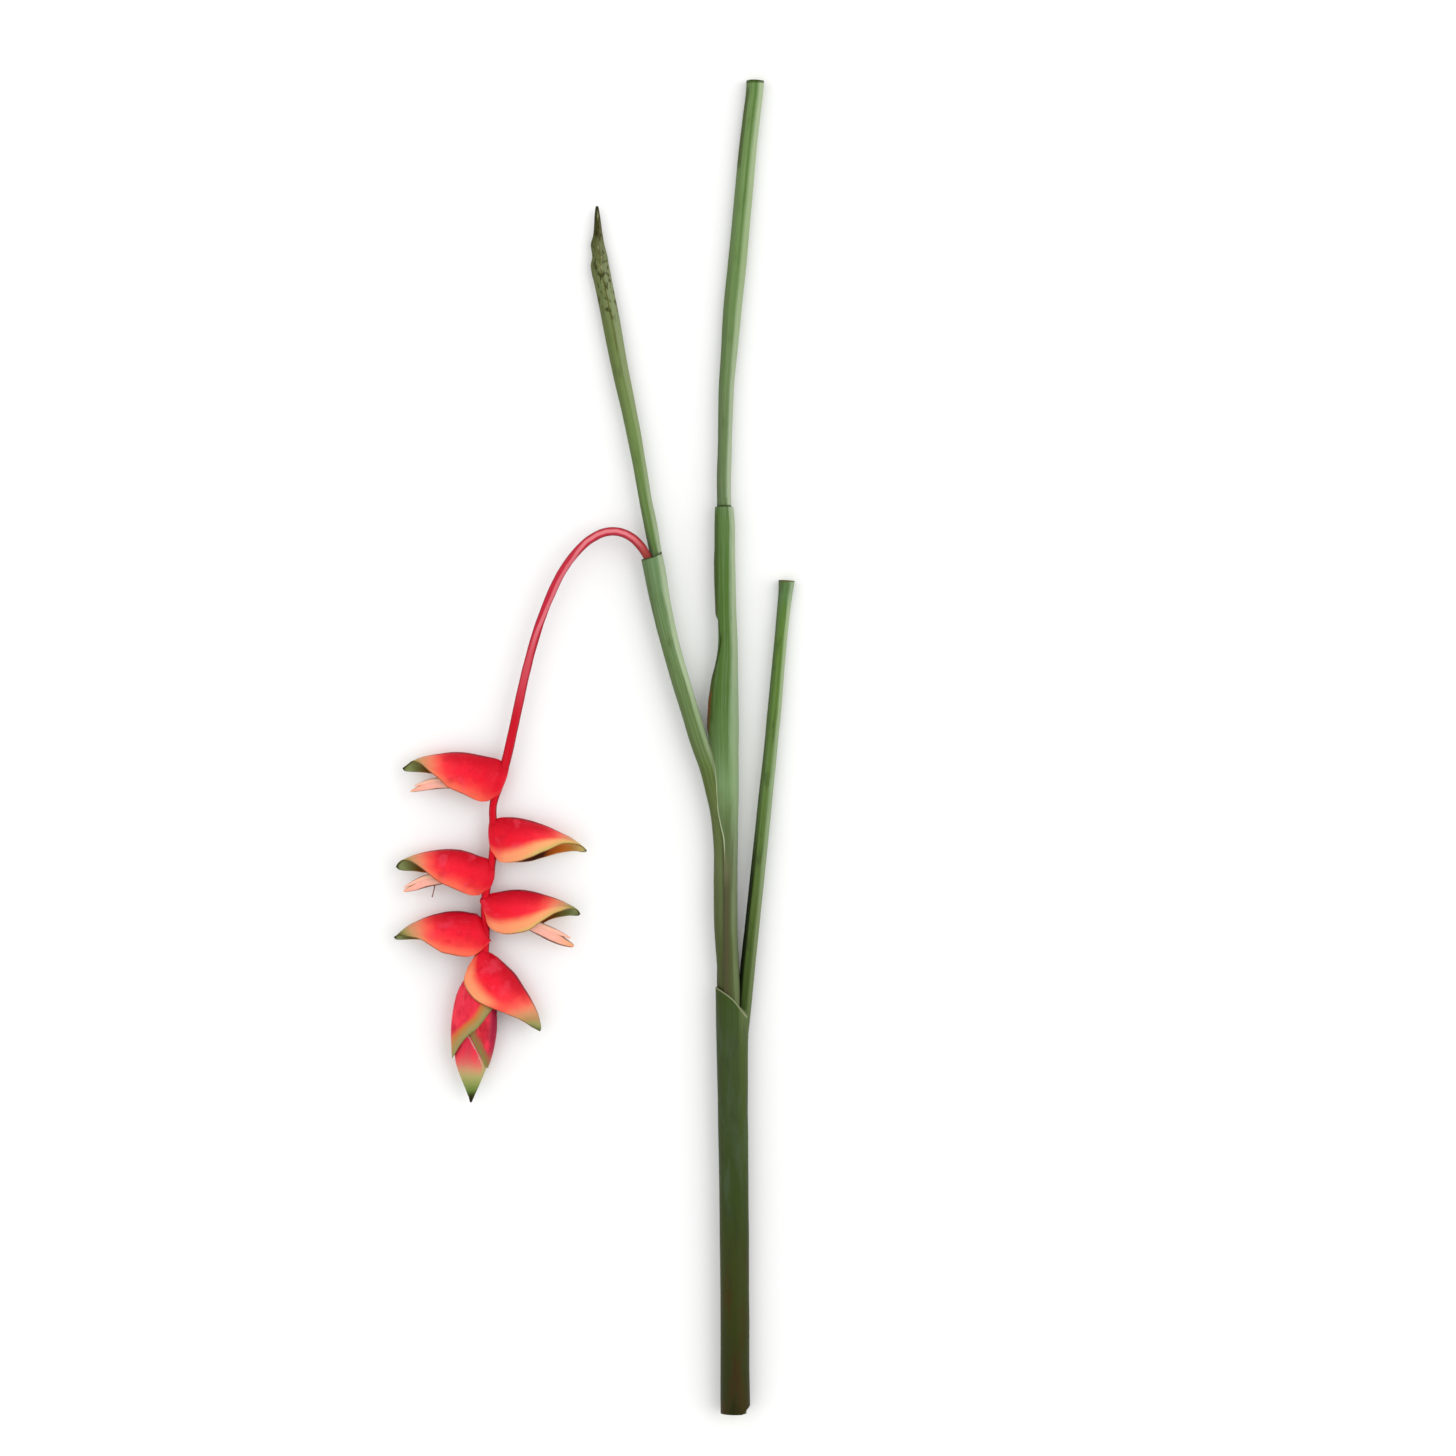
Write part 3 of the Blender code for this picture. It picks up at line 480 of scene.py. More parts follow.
def sheet(name, across, rows, place):
    """A grid whose points are laid, row by row, on a rolled or folded leaf.

    place gives a point in millimetres, its distance from the free margin, and its fold: how
    far across and how far along a folded leaf it lies, as shares, and 0."""
    bpy.ops.object.select_all(action="DESELECT")
    bpy.ops.mesh.primitive_grid_add(
        x_subdivisions=across, y_subdivisions=rows, size=1, location=(0.5, 0.5, 0))
    bpy.ops.object.transform_apply(location=True)
    piece = bpy.context.object
    piece.name = name
    edge = piece.data.attributes.new("edge", "FLOAT", "POINT")
    fold = piece.data.attributes.new("fold", "FLOAT_VECTOR", "POINT")
    for point in piece.data.vertices:
        u, row = point.co.x, round(point.co.y * rows)
        spot, margin, folded = place(u, row)
        point.co = Vector(spot) * MM
        edge.data[point.index].value = margin * MM
        fold.data[point.index].vector = folded
    return piece


def nearest(points, line):
    """For each point: nearest segment of a line, share of that segment, and gap."""
    start, step = line[:-1], np.diff(line, axis=0)
    length = (step ** 2).sum(axis=1)
    share = ((points[:, None] - start) * step).sum(axis=2) / length
    share = np.clip(share, 0, 1)
    away = points[:, None] - (start + share[..., None] * step)
    gap = np.sqrt((away ** 2).sum(axis=2))
    segment = gap.argmin(axis=1)
    row = np.arange(len(points))
    return segment, share[row, segment], gap[row, segment], away[row, segment]


def points_of(piece):
    points = np.empty(len(piece.data.vertices) * 3)
    piece.data.vertices.foreach_get("co", points)
    return points.reshape(-1, 3)


def keep(piece, name, kind, values):
    """Gives the points an attribute, in place of any that has the name already."""
    attribute = piece.data.attributes.get(name)
    if attribute is None:
        attribute = piece.data.attributes.new(name, kind, "POINT")
    attribute.data.foreach_set("value" if kind == "FLOAT" else "vector", values.ravel())


def lay_grain(piece, *routes):
    """Keeps, for each point, where it lies on the straightened stalk: side, height, length."""
    points = points_of(piece)
    best = np.full(len(points), np.inf)
    grain = np.zeros((len(points), 3))
    for route in routes:
        stations = np.array(route) * MM
        line = stations[:, :3]
        segment, share, gap, away = nearest(points, line)
        step = np.diff(line, axis=0)
        length = np.sqrt((step ** 2).sum(axis=1))
        ahead = (step / length[:, None])[segment]
        side = away[:, 0] * ahead[:, 1] - away[:, 1] * ahead[:, 0]
        travelled = np.concatenate(([0], np.cumsum(length)))[segment] + share * length[segment]
        tightness = gap / (stations[segment, 3] * (1 - share) + stations[segment + 1, 3] * share)
        closer = tightness < best
        best[closer] = tightness[closer]
        grain[closer] = np.stack([side, away[:, 2], travelled], axis=1)[closer]
    keep(piece, "grain", "FLOAT_VECTOR", grain)


def lay_edge(piece, line):
    """Keeps, for each point, how far it is from a margin seen from above."""
    points = points_of(piece)[:, :2]
    _, _, gap, _ = nearest(points, np.array(smooth(line, 4)) * MM)
    keep(piece, "edge", "FLOAT", gap)


def uneven(piece, amount, size, seed):
    """Gives a surface the slight unevenness of a grown one; what lies on the floor stays flat."""
    points = points_of(piece)
    normals = np.empty(len(points) * 3)
    piece.data.vertices.foreach_get("normal", normals)
    normals = normals.reshape(-1, 3)
    places = points * (1, 0.4, 1) / (size * MM) + (seed, seed * 1.7, 0)
    heights = np.array([noise.noise(place) for place in places])
    points += normals * (heights * amount * MM * (np.abs(normals[:, 1]) < 0.9))[:, None]
    points[:, 2] = np.maximum(points[:, 2], 0)
    piece.data.vertices.foreach_set("co", points.ravel())
    piece.data.update()


def wear(piece, skins):
    piece.data.materials.clear()
    for skin in skins:
        piece.data.materials.append(skin)


def finish_piece(piece, nodes, skins, angle=35):
    activate(piece)
    if skins:
        wear(piece, skins)
    bpy.ops.object.shade_smooth_by_angle(angle=math.radians(angle))
    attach(piece, "root")
    if nodes:
        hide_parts(*nodes)


def colour(code):
    """A linear colour from its screen code, darkened because the lamps light it up again."""
    shares = [int(code[index:index + 2], 16) / 255 for index in (1, 3, 5)]
    shares = [s / 12.92 if s <= 0.04045 else ((s + 0.055) / 1.055) ** 2.4 for s in shares]
    return tuple(share / LAMP_LIFT for share in shares)


class Wire:
    """A shader socket with arithmetic: each operator adds a Math node."""

    def __init__(self, skin, socket):
        self.skin, self.socket = skin, socket

    def math(self, operation, first, second):
        return self.skin.node("Math", {"operation": operation}, (first, second))

    def __add__(self, other):
        return self.math("ADD", self, other)

    def __sub__(self, other):
        return self.math("SUBTRACT", self, other)

    def __rsub__(self, other):
        return self.math("SUBTRACT", other, self)

    def __mul__(self, other):
        return self.math("MULTIPLY", self, other)

    def __truediv__(self, other):
        return self.math("DIVIDE", self, other)

    def __pow__(self, other):
        return self.math("POWER", self, other)

    __radd__ = __add__
    __rmul__ = __mul__


class Skin:
    """One material: constants on its shader's own sockets, and the nodes that vary."""

    def __init__(self, name, **constants):
        self.material = bpy.data.materials.new(name)
        self.material.use_nodes = True
        self.tree = self.material.node_tree
        self.shader = self.tree.nodes["Principled BSDF"]
        self.base = None
        for socket, value in constants.items():
            self.shader.inputs[socket.replace("_", " ")].default_value = value

    def node(self, kind, settings, sockets, output=0):
        made = self.tree.nodes.new("ShaderNode" + kind)
        for name, value in settings.items():
            if name == "stops":
                self.set_stops(made.color_ramp, value)
            else:
                setattr(made, name, value)
        pairs = sockets.items() if isinstance(sockets, dict) else enumerate(sockets)
        for name, value in pairs:
            self.feed(made.inputs[name], value)
        return Wire(self, made.outputs[output])

    def set_stops(self, ramp, stops):
        while len(ramp.elements) < len(stops):
            ramp.elements.new(1.0)
        for element, (position, code) in zip(ramp.elements, stops):
            element.position = position
            element.color = (*colour(code), 1)

    def feed(self, socket, value):
        if isinstance(value, Wire):
            self.tree.links.new(value.socket, socket)
        elif isinstance(value, str):
            socket.default_value = (*colour(value), 1)
        else:
            socket.default_value = value

    def attribute(self, name, output):
        return self.node("Attribute", {"attribute_name": name}, (), output)

    def place(self):
        return self.node("TexCoord", {}, (), "Object")

    def parts(self, vector):
        node = self.node("SeparateXYZ", {}, (vector,)).socket.node
        return [Wire(self, socket) for socket in node.outputs]

    def moved(self, vector, seed):
        """The vector shifted, so that each piece shows its own part of a pattern."""
        return self.node("VectorMath", {"operation": "ADD"}, (vector, (seed * 0.13, seed * 0.07, 0)))

    def noise(self, vector, scale=1.0, detail=2.0, roughness=0.5):
        return self.node("TexNoise", {}, {
            "Vector": vector, "Scale": scale, "Detail": detail, "Roughness": roughness})

    def streaks(self, grain, across, along, detail=2.0, roughness=0.5):
        """Noise with one scale across and one along the straightened stalk."""
        scales = (across, across, along)
        stretched = self.node("VectorMath", {"operation": "MULTIPLY"}, (grain, scales))
        return self.noise(stretched, 1.0, detail, roughness)

    def ease(self, value, low, high):
        """0 below low, 1 above high, smooth between; also the other way round."""
        return self.node("MapRange", {"interpolation_type": "SMOOTHSTEP"}, {
            "Value": value, "From Min": low, "From Max": high})

    def window(self, value, start, full, fade, end):
        """0 up to start, 1 from full to fade, 0 again from end on."""
        return self.ease(value, start, full) * self.ease(value, end, fade)

    def between(self, value, low, high, soft, soft_end=None):
        """A window between two levels in millimetres, with soft ends."""
        fade = high - (soft_end or soft)
        return self.window(value, low * MM, (low + soft) * MM, fade * MM, high * MM)

    def ramp(self, value, stops):
        return self.node("ValToRGB", {"stops": stops}, (value,))

    def mix(self, factor, first, second):
        return self.node("Mix", {"data_type": "RGBA"}, {0: factor, 6: first, 7: second}, 2)

    def bump(self, height, distance, strength):
        return self.node("Bump", {}, {
            "Height": height, "Distance": distance, "Strength": strength})

    def paint(self, factor, tone):
        """Lays a tone over the base colour."""
        self.base = self.mix(factor, self.base, tone)

    def finish(self, roughness, normal=None):
        self.feed(self.shader.inputs["Base Color"], self.base)
        self.feed(self.shader.inputs["Roughness"], roughness)
        if normal is not None:
            self.feed(self.shader.inputs["Normal"], normal)
        return self.material


def tone_stops(tones):
    """Ramp stops from tones at millimetres along the plant."""
    return [((level - BUTT_Y) / PLANT_LENGTH, code) for level, code in tones]


def facing_of(side, up):
    """Where a stalk's surface looks: -1 to its left, 0 straight up or down, 1 to its right."""
    return side / (side * side + up * up + 0.0000001) ** 0.5


def leaf_skin(name, tones, lit_tones, blotch, blotch_amount, rims, broad_rim=None,
              groove_shadow=None, rings=(), flanks=(), stains=(), hems=(), furrow=None,
              torn_from=None):
    """Green sheath and stalk: tones along the plant, fibres, blotches, a painted highlight down the
    right side and painted shade down the left.

    All levels are in millimetres along the plant; only a furrow begins between two in metres.
    """
    skin = Skin(name, Specular_IOR_Level=0.16, Specular_Tint=GREEN_GLOSS)
    grain = skin.attribute("grain", "Vector")
    side, up, _ = skin.parts(grain)
    x, y, _ = skin.parts(skin.place())
    facing = facing_of(side, up)
    wander = skin.streaks(grain, 90, 14, 3)
    fibres = skin.streaks(grain, 650, 9, 3, 0.6)
    fine = skin.streaks(grain, 2000, 45, 1)
    patches = skin.streaks(grain, 120, 32, 5, 0.62)
    level = (y - BUTT_Y * MM) / (PLANT_LENGTH * MM) + (wander - 0.5) * 0.05
    body = skin.ramp(level, tone_stops(tones))
    lit = skin.ramp(level, tone_stops(lit_tones))
    body = skin.mix(skin.ease(fibres, 0.35, 0.75) * 0.22, body, lit)
    # Painted shade down the left side of each stalk.
    body = skin.mix(skin.ease(facing, -0.2, -0.95) * 0.35, body, "#2e3010")
    body = skin.mix(skin.ease(patches, 0.5, 0.72) * blotch_amount, body, blotch)
    # Painted highlight: the right side of each stalk takes the lit tones.
    painted_lit_side = skin.ease(facing + (fibres - 0.5) * 0.3 + (wander - 0.5) * 0.3, 0.3, 0.72)
    skin.base = skin.mix(painted_lit_side * 0.9, body, lit)
    skin.paint(skin.ease(fine, 0.6, 0.75) * 0.22, "#1c200e")
    # Painted shadow in the groove along the left edge of the right stalk.
    if groove_shadow:
        window = skin.between(y, *groove_shadow, 15, 60) * skin.ease(x, 0.108, 0.114)
        skin.paint(skin.ease(facing, -0.3, -0.62) * window * 0.9, "#0c1206")
    for low, high, code in stains:
        window = skin.between(y, low, high, 40)
        cloudy = skin.streaks(grain, 95, 22, 4, 0.6)
        skin.paint(skin.ease(cloudy, 0.46, 0.64) * window * 0.55, code)
    for low, high in flanks:
        window = skin.between(y, low, high, 8)
        shade = skin.ease(facing + (wander - 0.5) * 0.25 + (fibres - 0.5) * 0.2, -0.62, -0.84)
        skin.paint(shade * window * 0.8, "#3c4a1c")
    if furrow:
        shade = skin.window(facing, 0.0, 0.14, 0.25, 0.38) * skin.ease(y, *furrow)
        skin.paint(shade * 0.5, "#3f5f24")
    if torn_from:
        worn = skin.ease(y + (wander - 0.5) * 0.12, torn_from * MM, (torn_from + 45) * MM)
        spots = skin.streaks(grain, 420, 170, 3, 0.65)
        middle = skin.window(facing, -0.35, 0.1, 0.4, 0.75)
        skin.paint(skin.ease(spots, 0.54, 0.62) * worn * 0.85, "#2c2410")
        skin.paint(skin.ease(spots, 0.42, 0.34) * worn * middle * 0.6, "#b8b088")
        scar = skin.ease(y, 0.17, 0.24) * skin.window(facing, 0.02, 0.14, 0.26, 0.42)
        skin.paint(scar * skin.ease(wander, 0.4, 0.6) * 0.7, "#4a4418")
    # Dark rings at given levels: dark rims round cut ends, and a painted shadow line where a stalk
    # leaves a sheath's rim.
    for ring, code in rings:
        away = y - ring * MM
        skin.paint(skin.ease(away * away, 0.0000014, 0.0000002) * 0.75, code)
    edge = skin.attribute("edge", "Fac")
    rim = skin.ramp(level, tone_stops(rims))
    if broad_rim:
        broad = skin.ease(y + (wander - 0.5) * 0.02, broad_rim * MM, (broad_rim - 25) * MM)
        streak = skin.ease(edge + (fibres - 0.5) * 0.003, 0.0055, 0.003) * broad
        skin.paint(streak * 0.6, rim)
    skin.paint(skin.ease(edge, 0.0013, 0.0006) * 0.85, rim)
    for low, high, reach, code in hems:
        window = skin.between(y, low - 4, high + 4, 8)
        near = skin.ease(edge + (fibres - 0.5) * 0.001, reach * MM, reach * 0.5 * MM)
        skin.paint(near * window * 0.85, code)
    rough = 0.42 + fibres * 0.12 + patches * 0.08
    ridges = skin.bump(fibres * 0.6 + fine * 0.4, 0.00035, 0.55)
    return skin.finish(rough, ridges)


def cut_skin(name, flesh, pith):
    """A cut end: wet flesh with fibre ends."""
    skin = Skin(name, Specular_IOR_Level=0.5)
    place = skin.place()
    pores = skin.noise(place, scale=1500, detail=3, roughness=0.7)
    rings = skin.noise(place, scale=260, detail=2)
    skin.base = skin.mix(skin.ease(pores, 0.4, 0.65), flesh, pith)
    skin.paint(skin.ease(rings, 0.5, 0.7) * 0.4, "#3b3a1c")
    return skin.finish(0.5 + pores * 0.2, skin.bump(pores, 0.0004, 0.6))


def stalk_skin(name):
    """The red flower stalk: brownish in the sheath, glossy over the arch, with a painted pink highlight
    along its top there and painted shade on its lower flanks.
    """
    skin = Skin(name, Specular_IOR_Level=0.16, Specular_Tint=RED_GLOSS,
                Subsurface_Weight=0.05, Subsurface_Scale=0.003)
    grain = skin.attribute("grain", "Vector")
    side, up, length = skin.parts(grain)
    streaks = skin.streaks(grain, 900, 20, 3)
    mottle = skin.streaks(grain, 260, 90, 4, 0.6)
    skin.base = skin.ramp(length * 0.8 + (mottle - 0.5) * 0.01, [
        (0.0, "#8a9a62"), (0.53, "#8e5a44"), (0.572, "#8c3c30"), (0.59, "#b83440"),
        (0.64, "#c02c40"), (0.70, "#be1c34"), (0.75, "#c40820"), (0.84, "#d20820"), (0.95, "#d80a26")])
    skin.paint(skin.ease(streaks, 0.5, 0.8) * 0.25, "#e23a4e")
    slant = skin.window(length, 0.775, 0.80, 0.835, 0.875)
    off = side + slant * 0.0019
    window = skin.window(length, 0.715, 0.745, 0.84, 0.96)
    # Painted highlight: a broad pale pink band along the top of the stalk.
    broad = skin.ease(up, 0.0019, 0.0034) * skin.window(length, 0.85, 0.9, 0.89, 0.945)
    skin.paint(broad * 0.28, "#ea8490")
    # Painted shade on the lower flanks of the stalk, dark red towards its sides seen from above.
    flank = skin.ease(up, 0.0029, 0.0014)
    skin.paint(flank * 0.75, "#7c0c20")
    # Painted highlight: a narrow pink line along the top over the arch.
    narrow = skin.ease(off * off, 0.0000034, 0.0000005) * window * skin.ease(length, 0.9, 0.85)
    narrow = narrow * skin.ease(up, 0.0002, 0.0012)
    skin.paint(narrow * (0.66 - slant * 0.2), "#f4949c")
    return skin.finish(0.36 + mottle * 0.15, skin.bump(streaks, 0.00025, 0.5))


def bract_skin(name, band, beak, tip, seed):
    """Outside of a bract: crimson keel, scarlet cheek, coral and pale margin, green beak."""
    skin = Skin(name, Specular_IOR_Level=0.2, Specular_Tint=RED_GLOSS,
                Subsurface_Weight=0.06, Subsurface_Scale=0.003)
    strength, band_start, lean, band_end = band
    across, share, _ = skin.parts(skin.attribute("fold", "Vector"))
    edge = skin.attribute("edge", "Fac")
    moved = skin.moved(skin.place(), seed)
    cloud = skin.noise(moved, scale=60, detail=4, roughness=0.55)
    mottle = skin.noise(moved, scale=105, detail=3, roughness=0.6)
    fine = skin.noise(moved, scale=520, detail=4, roughness=0.6)
    veins = skin.noise(skin.node("CombineXYZ", {}, (across * 26, share * 3, seed)), detail=2)
    reach = share + across * 0.05 + (cloud - 0.5) * 0.10
    skin.base = skin.ramp(reach, [
        (0.0, "#da1028"), (0.2, "#ea102a"), (0.42, "#f32036"), (0.56, "#f8343e"),
        (0.65, "#f85c4e"), (0.73, "#e88462"), (0.81, "#cc9466"), *beak])
    early = skin.ease(reach, 0.74, 0.46)
    crimson = skin.ease(across + (cloud - 0.5) * 0.35, 0.48, 0.08) * early
    skin.paint(crimson * 0.9, "#c2001c")
    coral = skin.ease(across + (cloud - 0.5) * 0.25, 0.5, 0.95) * skin.ease(reach, 0.82, 0.55)
    coral = coral * skin.ease(share, 0.0, 0.25)
    skin.paint(coral * 0.85, "#fc5648")
    skin.paint(skin.ease(mottle, 0.48, 0.72) * early * 0.45, "#c80c2a")
    # Pink patches: painted soft highlights of the gloss.
    skin.paint(skin.ease(cloud, 0.46, 0.32) * early * 0.4, "#f0485e")
    spread = across + share * lean + (cloud - 0.5) * 0.1
    strength = skin.ease(share, band_end + 0.2, band_end) * strength
    peach = skin.ease(spread, band_start - 0.2, band_start + 0.06) * strength
    cream = skin.ease(spread, band_start + 0.12, band_start + 0.32) * strength
    skin.paint(peach, skin.ramp(share, [
        (0.0, "#f4604c"), (0.15, "#f99a6c"), (0.6, "#f5b074"), (0.8, "#dcae6c"), (1.0, "#8c8e48")]))
    skin.paint(cream, skin.ramp(share + (mottle - 0.5) * 0.2, [
        (0.0, "#f09a66"), (0.25, "#e8b072"), (0.45, "#cfc070"), (0.7, "#d8b868"), (0.85, "#c4b45c"),
        (0.95, "#a8a860"), (1.0, "#5a6630")]))
    skin.paint(skin.ease(veins, 0.55, 0.8) * 0.15 * early, "#b80d28")
    skin.paint(skin.ease(fine, 0.55, 0.8) * 0.1, "#ff7a70")
    margin = skin.ease(edge + (fine - 0.5) * 0.0008, 0.0016, 0.0007) * skin.ease(share, 0.1, 0.35)
    outline = 1.0 - skin.ease(share, 0.9, 0.97) * (1 - tip)
    skin.paint(margin * outline * 0.75, skin.ramp(share, [
        (0.0, "#7a2a28"), (0.5, "#84482a"), (0.8, "#6a4a20"), (1.0, "#2c2e10")]))
    keel = skin.ease(across, 0.07, 0.025) * skin.ease(share, 0.06, 0.2)
    skin.paint(keel * outline * 0.8, skin.ramp(share, [
        (0.0, "#7a0c22"), (0.6, "#6e1020"), (0.8, "#8a7048"), (1.0, "#3c4418")]))
    skin.paint(skin.ease(share, 0.94, 0.985) * tip, "#161c0a")
    rough = 0.4 + fine * 0.12
    return skin.finish(rough, skin.bump(veins * 0.6 + fine * 0.4, 0.0004, 0.5))


def lining_skin(name, tones):
    """Inside of a bract: duller, orange brown to olive at the beak."""
    skin = Skin(name, Specular_IOR_Level=0.3)
    across, share, _ = skin.parts(skin.attribute("fold", "Vector"))
    veins = skin.noise(skin.node("CombineXYZ", {}, (across * 30, share * 3, 4.0)), detail=2)
    fine = skin.noise(skin.place(), scale=420, detail=3)
    skin.base = skin.ramp(share + (veins - 0.5) * 0.08 + (fine - 0.5) * 0.05, tones)
    skin.paint(skin.ease(veins, 0.5, 0.8) * 0.18, "#6c4420")
    return skin.finish(0.5 + veins * 0.1, skin.bump(veins, 0.0004, 0.6))


def flower_skin(name):
    """Salmon petals with orange tips, and painted shade along the sides of their upper half."""
    skin = Skin(name, Specular_IOR_Level=0.35, Subsurface_Weight=0.1, Subsurface_Scale=0.003)
    grain = skin.attribute("grain", "Vector")
    side, up, length = skin.parts(grain)
    facing = facing_of(side, up)
    lines = skin.streaks(grain, 1400, 30)
    spots = skin.streaks(grain, 300, 140, 3)
    skin.base = skin.ramp(length * 8 + (lines - 0.5) * 0.03, [
        (0.0, "#f6c8a8"), (0.3, "#fcb8a0"), (0.46, "#fbb2a0"), (0.53, "#f9ae94"), (0.6, "#f2a878"),
        (0.66, "#cf9a60")])
    skin.paint(skin.ease(lines, 0.5, 0.75) * 0.4, "#ffcdbb")
    skin.paint(skin.ease(spots, 0.55, 0.75) * 0.3, "#f0907c")
    # Painted shade: dark along the sides of the upper half, where the petal turns away seen from above.
    rims = skin.ease(facing * facing + (spots - 0.5) * 0.3, 0.70, 0.9)
    rims = rims * skin.ease(up, -0.0003, 0.0003)
    skin.paint(rims * 0.85, "#4e2e22")
    return skin.finish(0.45 + lines * 0.1, skin.bump(lines, 0.0003, 0.6))


def bud_skin(name, heart, rim_tones, green_from, seed):
    """Young bracts of the bud: red, then orange, tan and green towards the free margin."""
    skin = Skin(name, Specular_IOR_Level=0.2, Specular_Tint=RED_GLOSS,
                Subsurface_Weight=0.06, Subsurface_Scale=0.003)
    _, y, _ = skin.parts(skin.place())
    edge = skin.attribute("edge", "Fac")
    grain = skin.attribute("grain", "Vector")
    side, _, _ = skin.parts(grain)
    moved = skin.moved(grain, seed)
    cloud = skin.streaks(moved, 110, 60, 4, 0.55)
    lines = skin.streaks(moved, 500, 16)
    fine = skin.noise(moved, scale=520, detail=3)
    skin.base = skin.mix(skin.ease(cloud, 0.35, 0.7), heart, "#f0344a")
    skin.paint(skin.ease(lines, 0.55, 0.8) * 0.3, "#f4707c")
    flank = side + (cloud - 0.5) * 0.004
    skin.paint(skin.ease(flank, -0.009, -0.0155) * 0.75, "#8c1238")
    glint = skin.window(side, -0.012, -0.009, -0.008, -0.004)
    glint = glint * skin.ease(y + (cloud - 0.5) * 0.03, -0.215, -0.203) * skin.ease(lines, 0.3, 0.6)
    skin.paint(glint * 0.6, "#f0a0b0")
    down = skin.ease(y + (cloud - 0.5) * 0.02, green_from, green_from - 0.03)
    skin.paint(down, skin.ramp(skin.ease(y, green_from, -0.293), [
        (0.0, "#e06860"), (0.22, "#d88470"), (0.42, "#c4a474"), (0.6, "#a8a868"), (0.78, "#8a9650"),
        (0.9, "#64803a"), (0.96, "#3c5018"), (1.0, "#0c1006")]))
    rim = (edge + (cloud - 0.5) * 0.004 + (lines - 0.5) * 0.002) / 0.012
    reach = rim_tones[-1][0]
    worn = down if reach < 0.2 else 0.0
    skin.paint(skin.ease(rim, reach, reach * 0.6) * (1.0 - worn), skin.ramp(rim, rim_tones))
    skin.paint(skin.ease(fine, 0.55, 0.8) * 0.1, "#ff8a80")
    return skin.finish(0.4 + cloud * 0.1, skin.bump(lines * 0.6 + fine * 0.4, 0.0003, 0.5))


def cap_ends(piece, top=None):
    """Gives the flat cuts their own skin: at the butt, and above the level top if there is one."""
    for face in piece.data.polygons:
        level = face.center.y / MM
        at_butt = level < BUTT_Y + 2 and face.normal.y < -0.9
        at_top = top is not None and level > top and face.normal.y > 0.9
        if at_butt or at_top:
            face.material_index = 1


def outer_leaf(skins):
    leaf = stalk("outer_leaf_skin", OUTER_SHEATH)
    mouth = [(80, OUTER_MOUTH[0][1] + 8)] + smooth(OUTER_MOUTH, 4)
    mouth += [(145, -240), (145, -100), (80, -100)]
    combine(leaf, prism(mouth), "DIFFERENCE")
    combine(leaf, stalk("stalk", smooth(RIGHT_STALK, 2), groove=0.3), "UNION")
    combine(leaf, stalk("bore", past_butt(grown(MIDDLE_SHEATH, SHEATH_GAP))), "DIFFERENCE")
    chip = [(118, BUTT_Y - 5), (135, BUTT_Y - 5), (135, BUTT_Y + 13)]
    combine(leaf, prism(chip), "DIFFERENCE")
    uneven(leaf, 0.35, 14, 3)
    lay_grain(leaf, OUTER_SHEATH[:-1], RIGHT_STALK)
    lay_edge(leaf, OUTER_MOUTH)
    finish_piece(leaf, ["outer_leaf"], skins)
    cap_ends(leaf, 134)


